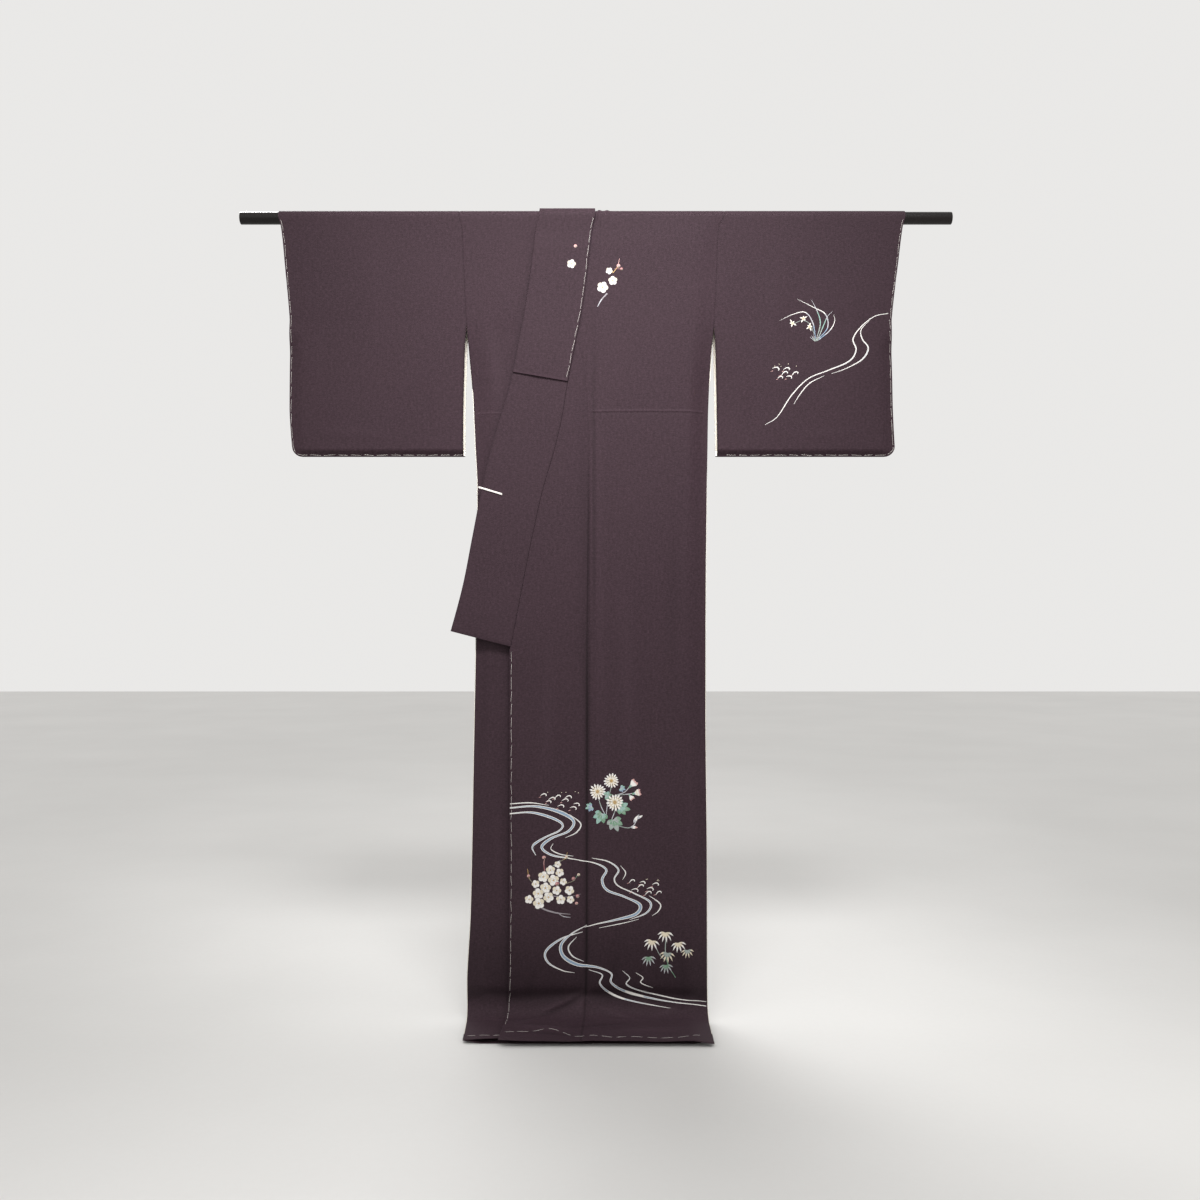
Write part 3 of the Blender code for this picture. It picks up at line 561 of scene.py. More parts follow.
def crepe_grain(nodes):
    """Crepe: crinkled grain, the faint slubs of the weft, and the upright pull of the warp."""
    cloth = nodes.cloth()
    grain = nodes.noise(nodes.mapped(cloth, "Scale", (1.0, 1.3, 1.0)), 640.0, 3.0, 0.65)
    weft = nodes.noise(nodes.mapped(cloth, "Scale", (0.42, 1.0, 1.0)), 430.0, 2.0, 0.6)
    warp = nodes.noise(nodes.mapped(cloth, "Scale", (1.0, 0.2, 1.0)), 300.0, 2.0, 0.6)
    height = nodes.sum(nodes.sum(grain, weft, 0.45), warp, 0.15)
    return cloth, grain, nodes.sum(weft, warp, 0.5), height


def crepe_material():
    """Aubergine silk crepe: matt, with a soft sheen, uneven dye, rubbed edges, and painted light and shade."""
    nodes = Nodes("silk_crepe")
    cloth, grain, threads, height = crepe_grain(nodes)
    mottle = nodes.noise(cloth, 190.0, 3.0, 0.6)
    rub = nodes.rub()
    dyed = nodes.tinted(
        ink(45, 31, 37),
        (nodes.noise(cloth, 5.0, 3.0, 0.55), (0.3, 0.7, 0.0, 1.0), (52, 37, 43)),
        (threads, (0.5, 1.0, 0.0, 1.0), (65, 48, 56)),
        (mottle, (0.35, 0.65, 0.35, 0.0), (37, 25, 30)),
        (mottle, (0.5, 0.75, 0.0, 0.3), (62, 46, 54)),
        (grain, (0.25, 0.6, 0.65, 0.0), (30, 19, 24)),
        # the attribute lightens rubbed edges and paints highlights on ridges and on the hem on the floor, and
        # paints shade in seams, creases and under overhangs
        (rub, (0.0, 1.0, 0.0, 0.6), (92, 72, 82)),
        (rub, (0.0, -1.0, 0.0, 0.85), (19, 11, 14)),
    )
    looks = {"Specular IOR Level": 0.16, "Sheen Weight": 0.05, "Sheen Roughness": 0.45}
    looks["Sheen Tint"] = (*ink(196, 170, 186), 1)
    return nodes.finished(dyed, (grain, 0.3, 0.7, 0.8, 0.66), (height, 0.5, 0.35), looks)


def dye_material():
    """The pattern, dyed into the same crepe: its colours are on the mesh."""
    nodes = Nodes("dyed_crepe")
    cloth, grain, threads, height = crepe_grain(nodes)
    colour = nodes.tinted(
        nodes.add("ShaderNodeVertexColor", {"layer_name": "dye"}).outputs["Color"],
        (nodes.noise(cloth, 160.0, 2.0, 0.6), (0.4, 0.75, 0.0, 0.16), (120, 108, 116)),
        (grain, (0.25, 0.5, 0.22, 0.0), (96, 82, 90)),
        (threads, (0.5, 1.0, 0.0, 0.12), (250, 248, 244)),
    )
    looks = {"Sheen Weight": 0.1, "Sheen Roughness": 0.45}
    return nodes.finished(colour, (grain, 0.3, 0.7, 0.66, 0.5), (height, 0.4, 0.35), looks)


def lining_material():
    """Off-white plain silk: smooth and fine, with a low lustre."""
    nodes = Nodes("silk_lining")
    cloth = nodes.cloth()
    weft = nodes.noise(nodes.mapped(cloth, "Scale", (0.12, 1.0, 1.0)), 900.0, 2.0, 0.6)
    warp = nodes.noise(nodes.mapped(cloth, "Scale", (1.0, 0.12, 1.0)), 900.0, 2.0, 0.6)
    colour = nodes.tinted(
        ink(232, 227, 218),
        (nodes.noise(cloth, 9.0, 3.0, 0.6), (0.3, 0.75, 0.0, 1.0), (219, 211, 197)),
        (weft, (0.35, 0.7, 0.0, 0.3), (245, 242, 236)),
        (nodes.rub(), (0.0, 1.0, 0.0, 0.4), (196, 184, 168)),
    )
    looks = {"Sheen Weight": 0.25, "Sheen Roughness": 0.35}
    relief = (nodes.sum(weft, warp, 1.0), 0.35, 0.15)
    return nodes.finished(colour, (warp, 0.3, 0.7, 0.42, 0.56), relief, looks)


def thread_material():
    """Two-ply off-white thread: the plies wind round it."""
    nodes = Nodes("white_thread")
    along = nodes.cloth()
    settings = {"wave_type": "BANDS", "bands_direction": "X"}
    inputs = {"Vector": nodes.mapped(along, "Rotation", (0.0, 0.0, 0.9)), "Scale": 620.0, "Distortion": 0.6}
    plies = nodes.add("ShaderNodeTexWave", settings, inputs).outputs["Fac"]
    fuzz = nodes.noise(along, 1500.0, 2.0, 0.7)
    colour = nodes.mixed(plies, ink(198, 190, 184), ink(234, 229, 223))
    colour = nodes.tinted(colour, (fuzz, (0.4, 0.7, 0.0, 0.35), (250, 247, 240)))
    relief = (nodes.sum(plies, fuzz, 0.4), 0.6, 0.15)
    return nodes.finished(colour, (fuzz, 0.3, 0.7, 0.6, 0.85), relief, {"Sheen Weight": 0.3})


def lacquer_material():
    """Black lacquered wood: deep gloss, a trace of brush waviness and of handling."""
    nodes = Nodes("black_lacquer")
    place = nodes.add("ShaderNodeTexCoord").outputs["Object"]
    waves = nodes.noise(nodes.mapped(place, "Scale", (9.0, 60.0, 60.0)), 1.0, 3.0, 0.5)
    dust = nodes.noise(place, 340.0, 3.0, 0.65)
    colour = nodes.tinted(
        ink(14, 11, 11),
        (waves, (0.3, 0.7, 0.0, 1.0), (22, 17, 16)),
        (dust, (0.6, 0.8, 0.0, 0.25), (70, 62, 60)),
    )
    looks = {"Specular IOR Level": 0.22, "Coat Weight": 0.12, "Coat Roughness": 0.06}
    relief = (nodes.sum(waves, dust, 0.1), 0.2, 0.3)
    return nodes.finished(colour, (dust, 0.3, 0.8, 0.24, 0.4), relief, looks)


def floor_material():
    """A plain pale matt floor."""
    nodes = Nodes("pale_floor")
    place = nodes.add("ShaderNodeTexCoord").outputs["Object"]
    cloud, grain = nodes.noise(place, 1.6, 3.0, 0.5), nodes.noise(place, 90.0, 3.0, 0.6)
    colour = nodes.tinted(ink(214, 213, 211), (cloud, (0.3, 0.7, 0.0, 1.0), (219, 218, 216)))
    return nodes.finished(colour, (grain, 0.3, 0.7, 0.55, 0.7), (grain, 0.08, 0.4), {})


CREPE = crepe_material()
DYE = dye_material()
LINING = lining_material()
THREAD = thread_material()
LACQUER = lacquer_material()


# ---------------------------------------------------------------- meshes from grids of points
def link(thing):
    bpy.context.scene.collection.objects.link(thing)
    return thing


def mesh_from(name, points, faces, uvs):
    """A smooth mesh whose map, in metres of cloth, is given point by point."""
    mesh = bpy.data.meshes.new(name)
    mesh.from_pydata([tuple(point) for point in points], [], faces)
    layer = mesh.uv_layers.new(name="cloth")
    corners = np.empty(len(mesh.loops), int)
    mesh.loops.foreach_get("vertex_index", corners)
    layer.data.foreach_set("uv", np.asarray(uvs, float)[corners].ravel())
    mesh.shade_smooth()
    return mesh


def grid_faces(rows, columns):
    """The faces of a grid, turned so that they point out of the garment."""
    corners = [i * columns + j for i in range(rows - 1) for j in range(columns - 1)]
    return [(a, a + columns, a + columns + 1, a + 1) for a in corners]


def cloth_shell(name, points, uvs, rub, thickness, materials, rounded=0.0, turned=None):
    """A thin closed shell round a grid of points, with its lining side in the second material.

    Where a face is turned, the outer cloth is folded round to the inside.
    """
    rows, columns = points.shape[:2]
    mesh = mesh_from(name, points.reshape(-1, 3), grid_faces(rows, columns), uvs.reshape(-1, 2))
    # the attribute for rubbed edges and painted light and shade
    worn = mesh.attributes.new("rub", "FLOAT", "POINT")
    worn.data.foreach_set("value", np.clip(rub, -1, 1).astype(np.float32).ravel())
    for material in materials:
        mesh.materials.append(material)
    if turned is not None:
        mesh.materials.append(materials[0])
        mesh.materials.append(materials[0])
        inside = turned[:-1, :-1] & turned[1:, 1:]
        mesh.polygons.foreach_set("material_index", (2 * inside).astype(np.int32).ravel())
    piece = link(bpy.data.objects.new(name, mesh))
    shell = piece.modifiers.new("thickness", "SOLIDIFY")
    shell.thickness = thickness
    shell.offset = 0
    shell.use_even_offset = True
    shell.material_offset = len(materials) - 1
    if rounded:
        bevel = piece.modifiers.new("rounded", "BEVEL")
        bevel.width = rounded
        bevel.segments = 2
        bevel.limit_method = "ANGLE"
        bevel.angle_limit = math.radians(50)
    return piece


def level_rows(spacing):
    """Drops in metres, as close together as the table says."""
    levels = [0.0]
    for stretch in spacing:
        count = max(round((stretch["until"] - levels[-1]) / stretch["every"]), 1)
        levels += list(np.linspace(levels[-1], stretch["until"], count + 1)[1:])
    return np.array(levels) * MM


def columns(width, step, left, right):
    """Shares across a panel, and how far each column is shifted out and sunk at its edges.

    A free edge is plain. A folded one rolls in at a seam. A tucked one also runs on under its neighbour.
    """

    def seams(place):
        """How near each column lies to a seam."""
        at_left = (left != "free") * swell(place, SEAM_ROLL_WIDTH)
        return at_left + (right != "free") * swell(width - place, SEAM_ROLL_WIDTH)

    near = np.array(NEAR_EDGE) * MM
    count = max(round((width - 2 * near[-1]) / step), 2)
    middle = np.linspace(near[-1], width - near[-1], count + 1)[1:-1]
    place = np.concatenate([near, middle, width - near[::-1]])
    shift, sink = np.zeros(len(place)), SEAM_ROLL * seams(place)
    if left == "tucked":
        place, shift, sink = (np.insert(a, 0, v) for a, v in ((place, 0), (shift, -TUCK), (sink, TUCK_DEPTH)))
    if right == "tucked":
        place, shift, sink = (np.append(a, v) for a, v in ((place, width), (shift, TUCK), (sink, TUCK_DEPTH)))
    from_left = place if left == "free" else np.full(len(place), width)
    from_free = np.minimum(from_left, width - place if right == "free" else width)
    # free edges paler, rubbed and with a painted sheen; painted shade in the seam grooves
    worn = EDGE_WEAR_AND_SHEEN * swell(from_free, EDGE_WEAR_AND_SHEEN_WIDTH) - SEAM_GROOVE_SHADE * seams(place)
    return {"share": place / width, "shift": shift, "sink": sink, "worn": worn, "from_free": from_free}


def signed_rows(drops):
    """Signed reaches from the lowest row behind, over the rod, to the lowest row in front."""
    ahead = SHOULDER_WRAP + drops[drops > 0]
    over = np.linspace(-SHOULDER_WRAP, SHOULDER_WRAP, ROWS_ROUND_ROD)
    return np.concatenate([-ahead[::-1], over, ahead])


def panel_points(reaches, across, left_edge, right_edge, fitted, lift, firm=None):
    """A panel's points, map, and colour shifts: paler rubbed free edges with a painted sheen, and painted shade
    in the seams. The edges and the lift are read from side (1 front) and drop.

    Where its seams are less firm, they sink less and show less.
    """
    reach = reaches[:, None]
    side = np.where(reach < 0, -1, 1)
    drop = np.maximum(abs(reach) - SHOULDER_WRAP, 0)
    wrap = np.minimum(abs(reach), SHOULDER_WRAP)
    left, right = left_edge(side, drop), right_edge(side, drop)
    x = left + (right - left) * across["share"][None, :] + across["shift"][None, :]
    down = fitted(x, drop, side)
    height = lift(x, down, side)
    along = side * (wrap + down)
    firmness = 1.0 if firm is None else firm(side, drop)
    points = hang(x, along, height - across["sink"][None, :] * firmness)
    uvs = np.stack([x, along + 0 * x], axis=-1)
    rub = across["worn"][None, :] * firmness + 0 * x
    return points, uvs, rub


def crease_shading(creases, uvs):
    """The painted shading of creases: painted highlight on ridges (+) and painted shade in troughs (-)."""
    drop = np.maximum(abs(uvs[..., 1]) - SHOULDER_WRAP, 0)
    return creased(creases, uvs[..., 0], drop, "mark")


# ---------------------------------------------------------------- body and overlap panels
HEM_LEVEL = 1702 * MM
HEM_FITTED_FROM = 1460 * MM
BODY_ROWS = level_rows(ROW_SPACING)
# where each of these starts, and over how much further down it grows
OKUMI_SEAM_SHOWS = (420 * MM, 330 * MM)
ARMHOLE_SHOWS = (SLIT_TOP, 60 * MM)
SEAM_SHADE_GROWS, SEAM_SHADE_WEAKENS = (420 * MM, 200 * MM), (800 * MM, 200 * MM)
HEM_DEEPENS, HEM_LEVELS_OUT, HEM_PALES = (1340 * MM, 160 * MM), (1518 * MM, 45 * MM), (1545 * MM, 60 * MM)
SLIT_OPENS, SLIT_CLOSES = (20 * MM, 25 * MM), (310 * MM, 34 * MM)
# how much painted shade each lays on the dyed silk, and how far that reaches; HEM_PALER is painted light, with
# some rubbing, on the hem where it lies on the floor
SEAM_SHADE = 0.2
COLLAR_SHADE, COLLAR_SHADE_WIDTH, COLLAR_SHADE_GROWS = 0.24, 5 * MM, 60 * MM
END_SHADE, END_SHADE_DEPTH = 0.4, 16 * MM
HEM_SHADE, HEM_PALER = 0.38, 0.04
# the collar's lower end rises this much over this width
END_RISE, END_WIDTH = 30 * MM, 120 * MM


def okumi_firmness(side, drop):
    """The left overlap panel's seam hardly shows at the top, where the collar holds the cloth flat."""
    return np.where(side > 0, 0.3 + 0.7 * ease_in(drop, *OKUMI_SEAM_SHOWS), 1.0)


def armhole_firmness(side, drop):
    """The armhole seams are pressed flat, and hardly show above the slit."""
    return np.where(side > 0, 0.55 + 0.45 * ease_in(drop, *ARMHOLE_SHOWS), 1.0)


def seam_side_shade(uvs):
    """The painted shade on the left overlap panel along its seam."""
    x, drop = uvs[..., 0], np.maximum(uvs[..., 1] - SHOULDER_WRAP, 0)
    along = ease_in(drop, *SEAM_SHADE_GROWS) * (1 - 0.6 * ease_in(drop, *SEAM_SHADE_WEAKENS))
    return -SEAM_SHADE * fading(abs(read(OKUMI_SEAM, "x", drop) - x), BAND_WIDTH) * along


def overhang_shadow(uvs):
    """The painted shadow that the collar, its lower end and the free edge cast on the right front beside them.
    """
    x, drop = uvs[..., 0], np.maximum(uvs[..., 1] - SHOULDER_WRAP, 0)
    edge = np.where(drop < COLLAR_END, read(COLLAR, "edge", drop), read(FRONT_EDGE, "x", drop))
    beside = fading(edge - x, COLLAR_SHADE_WIDTH) * ease(drop / COLLAR_SHADE_GROWS)
    end = COLLAR_END - END_RISE * (read(FRONT_EDGE, "x", drop) - x) / END_WIDTH
    below = fading(drop - end, END_SHADE_DEPTH) * (drop > end) * (x < edge)
    return -COLLAR_SHADE * beside - END_SHADE * below


def hem_of(x, side):
    """The hem's drop, a little shorter behind."""
    return hem_drop(x) - np.where(side < 0, BACK_HEM_SHORTER, 0.0)


def to_hem(step):
    """Stretches the lowest rows so that the last one is the hem, a step beyond the plain one in front."""

    def fitted(x, drop, side):
        hem = hem_of(x, side) + np.where(side < 0, 0.0, step)
        share = np.clip((drop - HEM_FITTED_FROM) / (HEM_LEVEL - HEM_FITTED_FROM), 0, 1)
        return np.where(drop > HEM_FITTED_FROM, HEM_FITTED_FROM + (hem - HEM_FITTED_FROM) * share, drop)

    return fitted


def hem_roll(x, drop, side):
    """The hem's edge, a little fuller where the lining turns up inside it."""
    return HEM_FULLER * swell(hem_of(x, side) - drop, HEM_FULLER_WIDTH)


def hem_shading(uvs):
    """Painted shade on the front just above the floor, and a little painted light, with some rubbing, where it
    lies on it.
    """
    drop = uvs[..., 1] - SHOULDER_WRAP
    above = ease_in(drop, *HEM_DEEPENS) * (1 - ease_in(drop, *HEM_LEVELS_OUT))
    return HEM_PALER * ease_in(drop, *HEM_PALES) - HEM_SHADE * above


def hem_gap(uvs):
    """How far above the hem each point of a panel lies."""
    return hem_of(uvs[..., 0], np.sign(uvs[..., 1])) + SHOULDER_WRAP - abs(uvs[..., 1])


def slit_step(side, drop, most):
    """The back stands a little wider than the front along the open side slit."""
    open_here = ease_in(drop - SLIT_TOP, *SLIT_OPENS) * (1 - ease_in(drop, *SLIT_CLOSES))
    return np.where(side < 0, most * open_here, 0.0)


def make_panels():
    """The body halves, each one length of cloth over the shoulder, and the overlap panels, pointed above."""
    whole = signed_rows(BODY_ROWS)
    pointed = np.concatenate([[OKUMI_START + 1.5 * MM], BODY_ROWS[BODY_ROWS > OKUMI_START + 2 * MM]])
    pointed = SHOULDER_WRAP + pointed
    plans = table(
        "name nodes reaches wide edges left right front back creases step firm shade",
        (
            "body_left", ("left_front", "left_back"), whole, BODY_WIDTH, ("tucked", "folded"),
            lambda side, drop: np.where(side > 0, neck_edge(drop), CENTRE_X + SEAM_GAP / 2),
            lambda side, drop: read(LEFT_SIDE, "x", drop) + slit_step(side, drop, SLIT_STEP),
            over_lift, left_back_lift, OVER_CREASES, HEM_STEP, okumi_firmness, None,
        ),
        (
            "body_right", ("right_front", "right_back"), whole, BODY_WIDTH, ("folded", "folded"),
            lambda side, drop: read(RIGHT_SIDE, "x", drop) - slit_step(side, drop, SLIT_STEP / 2),
            lambda side, drop: np.where(side > 0, under_okumi_seam(drop) - SEAM_GAP, CENTRE_X - SEAM_GAP / 2),
            under_lift, right_back_lift, UNDER_CREASES, UNDER_HEM_STEP, armhole_firmness, overhang_shadow,
        ),
        (
            "overlap_left", ("left_okumi",), pointed, OKUMI_WIDTH, ("free", "folded"),
            lambda side, drop: np.where(
                drop <= COLLAR_END, read(COLLAR, "seam", drop) + SEAM_GAP, read(FRONT_EDGE, "x", drop)
            ),
            lambda side, drop: read(OKUMI_SEAM, "x", drop),
            over_lift, over_lift, OVER_CREASES, HEM_STEP, okumi_firmness, seam_side_shade,
        ),
        (
            "overlap_right", ("right_okumi",), pointed, OKUMI_WIDTH, ("tucked", "free"),
            lambda side, drop: under_okumi_seam(drop),
            lambda side, drop: under_front_edge(drop),
            under_lift, under_lift, UNDER_CREASES, UNDER_HEM_STEP, None, None,
        ),
    )
    made = {}
    for plan in plans:
        across = columns(plan["wide"], PANEL_STEP, *plan["edges"])
        lift = lambda x, drop, side: (
            np.where(side > 0, plan["front"](x, drop), plan["back"](x, drop)) + hem_roll(x, drop, side)
        )
        points, uvs, rub = panel_points(
            plan["reaches"], across, plan["left"], plan["right"], to_hem(plan["step"]), lift, plan["firm"]
        )
        front = uvs[..., 1] > 0
        # painted shading of creases and of the hem, and the painted shade beside the collar and the seam
        rub = rub + np.where(front, crease_shading(plan["creases"], uvs) + hem_shading(uvs), crease_shading(BACK_CREASES, uvs))
        if plan["shade"]:
            rub = rub + np.where(front, plan["shade"](uvs), 0)
        turned = (abs(hem_gap(uvs)) < HEM_FACING) | (across["from_free"][None, :] < HEM_FACING)
        piece = cloth_shell(plan["name"], points, uvs, rub, SHELL, (CREPE, LINING), turned=turned)
        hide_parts(*plan["nodes"])
        made[plan["name"]] = piece
    return made


# ---------------------------------------------------------------- sleeves
SLEEVES = {
    "right": {"edges": RIGHT_SLEEVE, "body": RIGHT_SIDE, "sign": -1},
    "left": {"edges": LEFT_SLEEVE, "body": LEFT_SIDE, "sign": 1},
}
SLEEVE_THINS = 2.5 * MM
SLEEVE_THINS_OVER = 200 * MM
CUFF_CLOSES_OVER = 50 * MM
CREASES_END_ABOVE_FOLD, CREASES_END_AT_CUFF = 40 * MM, 30 * MM
FURI_STEP_GROWS_OVER = 32 * MM


def sleeve_bottom(x, edges):
    """The drop of the sleeve's bottom fold, raised round the rounded outer corner."""
    near = CORNER_RADIUS - abs(x - read(edges, "cuff_edge", SLEEVE_DROP))
    rounded = np.sqrt(np.maximum(CORNER_RADIUS**2 - near**2, 0.0))
    return np.where(near <= 0, SLEEVE_DROP, SLEEVE_DROP - CORNER_RADIUS + rounded)


def sleeve_lift(name, x, drop, side):
    """Half the sleeve's depth, drawn together at the bottom and below the cuff opening."""
    edges = SLEEVES[name]["edges"]
    least = SHELL / 2 + 0.02 * MM
    depth = read(LIFTS, "side", np.minimum(drop, SLIT_TOP))
    depth = depth - SLEEVE_THINS * ease_in(drop, SLIT_TOP, SLEEVE_THINS_OVER)
    below_cuff = ease_in(drop, CUFF_OPENING, CUFF_CLOSES_OVER)
    edge = abs(x - read(edges, "cuff_edge", drop))
    closed = 1 - below_cuff * (1 - ease(edge / SLEEVE_EDGE_EASE))
    closed = closed * ease((sleeve_bottom(x, edges) - drop) / SLEEVE_BOTTOM_EASE)
    front, back = (creased(SLEEVE_CREASES[name, face], x, drop) for face in (1, -1))
    soft = np.where(side > 0, front, back)
    above_bottom = ease((sleeve_bottom(x, edges) - drop) / CREASES_END_ABOVE_FOLD)
    soft = soft * ease(drop / SHOULDER_EASE) * ease(edge / CREASES_END_AT_CUFF) * above_bottom
    puckers = puckered(drop, edge, PUCKER_WIDTH) * ease(drop / PUCKER_EASE)
    return least + (depth - least) * closed + soft + puckers * (1 - below_cuff)


def sleeve_inner(name, drop, side):
    """The sleeve's edge at the body: sewn to it down to the slit, then open and a step wider."""
    plan = SLEEVES[name]
    sewn = read(plan["body"], "x", drop) + plan["sign"] * SEAM_GAP
    step = np.where(side < 0, FURI_STEP, 0.0) * ease_in(drop, SLIT_TOP, FURI_STEP_GROWS_OVER)
    open_edge = read(plan["edges"], "open_edge", drop) - plan["sign"] * step
    return np.where(drop <= SLIT_TOP, sewn, open_edge)


def make_sleeves():
    """The two sleeves, each one length of cloth over the rod, sewn along the bottom and below the cuff."""
    reaches = signed_rows(level_rows(table("until every", (440, 6.5), (470, 1.7))))
    made = {}
    for name, plan in SLEEVES.items():
        cuff = lambda side, drop: read(plan["edges"], "cuff_edge", drop) + 0 * side
        inner = lambda side, drop: sleeve_inner(name, drop, side)
        left, right = (cuff, inner) if plan["sign"] < 0 else (inner, cuff)
        kinds = ("free", "tucked") if plan["sign"] < 0 else ("tucked", "free")
        across = columns(SLEEVE_WIDTH, SLEEVE_STEP, *kinds)
        fitted = lambda x, drop, side: drop * sleeve_bottom(x, plan["edges"]) / SLEEVE_DROP
        lift = lambda x, drop, side: sleeve_lift(name, x, drop, side)
        points, uvs, rub = panel_points(reaches, across, left, right, fitted, lift, armhole_firmness)
        bottom = np.minimum(abs(reaches[0]), abs(reaches[-1]))
        # painted shade along the bottom fold, where the cloth curves in
        rub = rub - 0.15 * ease(1 - (bottom - abs(uvs[..., 1])) / (12 * MM))
        for side in (1, -1):
            shown = np.where(np.sign(uvs[..., 1]) == side, 1, 0)
            rub = rub + shown * crease_shading(SLEEVE_CREASES[name, side], uvs)
        turned = (bottom - abs(uvs[..., 1]) < 2 * MM) | (across["from_free"][None, :] < CUFF_FACING)
        piece = cloth_shell(f"sleeve_{name}", points, uvs, rub, SHELL, (CREPE, LINING), turned=turned)
        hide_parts(f"{name}_sleeve_front", f"{name}_sleeve_back")
        made[f"sleeve_{name}"] = piece
        for face, side in (("front", 1), ("back", -1)):
            made[f"sleeve_lining_{name}_{face}"] = make_sleeve_lining(name, face, side)
    return made


def make_sleeve_lining(name, face, side):
    """The strip of lining that shows inside one face of a sleeve's open edge."""
    sign = SLEEVES[name]["sign"]
    inward = SHELL / 2 + LINING_SHELL / 2 + 0.15 * MM
    drops = np.linspace(206, 455, 63)[:, None] * MM
    place = np.array([0, 0.6, 1.6, 3, 6, 10, 16, 23, 30, 36.4]) * MM
    edge = sleeve_inner(name, drops, side)
    x = edge + sign * ((LINING_INSET if side < 0 else -LINING_PROUD) + place[None, :])
    sag = 0.35 * MM * np.sin(drops / (61 * MM) * 2 * math.pi) * ease(place / (5 * MM))[None, :]
    lift = sleeve_lift(name, x, drops, side) - inward - abs(sag)
    x = x + 0.25 * MM * np.sin(drops / (83 * MM) * 2 * math.pi)
    points = hang(x, side * (SHOULDER_WRAP + drops), lift)
    uvs = np.stack([x, SHOULDER_WRAP + drops + 0 * x], axis=-1)
    rub = np.broadcast_to(swell(place, 1.2 * MM)[None, :], x.shape)
    if sign * side < 0:
        points, uvs, rub = points[:, ::-1], uvs[:, ::-1], rub[:, ::-1]
    piece = cloth_shell(f"sleeve_lining_{name}_{face}", points, uvs, rub, LINING_SHELL, (LINING,))
    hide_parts(f"{name}_sleeve_lining_{face}")
    return piece


# ---------------------------------------------------------------- collars
COLLAR_SHARES = np.array(
    [0, 0.008, 0.03, 0.07, 0.14, 0.23, 0.33, 0.44, 0.56, 0.67, 0.77, 0.86, 0.93, 0.97, 0.992, 1]
)
COVER_ABOVE = COLLAR_WALL / 2 + SEAM_GAP + OVER_COLLAR_WALL / 2
COVER_INSET = 0.4 * MM
COVER_STANDS, COVER_STANDS_GROWS = 0.9 * MM, (150 * MM, 150 * MM)


def over_collar_lift(x, drop):
    """The over-collar puckers a little along its stitched seam, and its lower edge stands off."""
    seam = abs(read(COLLAR, "seam", drop) - x)
    share = seam / (read(COLLAR, "seam", drop) - read(COLLAR, "edge", drop))
    bows = 1 + 1.1 * swell(share - 0.55, 0.22)
    stands = COVER_STANDS * bows * ease_in(drop, *COVER_STANDS_GROWS)
    return collar_lift(x, drop) + puckered(drop, seam, 6 * MM) * ease(drop / PUCKER_EASE) + stands


def collar_rows(left_drops, right_drops, lift, raise_by, inset):
    """Rows across the left collar from its free edge to its seam, slanting when the drops differ."""
    share = COLLAR_SHARES[None, :]
    drop = left_drops[:, None] + (right_drops - left_drops)[:, None] * share
    free = read(COLLAR, "edge", drop) + inset
    seam = read(COLLAR, "seam", drop) - inset
    x = free + (seam - free) * share
    return hang(x, SHOULDER_WRAP + drop, lift(x, drop) + raise_by), x, SHOULDER_WRAP + drop


def neck_rows(lift_at_rod, raise_by, back_drop, inset):
    """The collar's rows from behind, with rounded lower corners, up over the rod."""
    left = float(read(COLLAR, "edge", 0)) + inset
    right = float(read(COLLAR, "seam", 0)) - inset
    middle, half = (left + right) / 2, (right - left) / 2
    share = np.array([1, 0.99, 0.96, 0.9, 0.8, 0.68, 0.55, 0.42, 0.3, 0.2, 0.1])[:, None]
    drop = back_drop * share
    narrow = 1 - 0.42 * ease((share - 0.5) / 0.5) ** 2
    behind = read(LIFTS, "back", drop) + CLOTH_WALL / 2 + SEAM_GAP + COLLAR_WALL / 2 + 0.3 * MM
    lift = np.maximum(behind, lift_at_rod - (lift_at_rod - behind) * ease(share * 2)) + raise_by
    spread = COLLAR_SHARES[None, :] * 2 - 1
    x = middle + half * narrow * spread
    below = hang(x, -SHOULDER_WRAP - drop, lift)
    over = np.linspace(-SHOULDER_WRAP, SHOULDER_WRAP, ROWS_ROUND_ROD)[:, None]
    x_over = middle + half * spread + 0 * over
    above = hang(x_over, over, lift_at_rod + raise_by)
    reach = np.concatenate([-SHOULDER_WRAP - drop + 0 * x, over + 0 * x_over])
    return np.concatenate([below, above]), np.concatenate([x, x_over]), reach


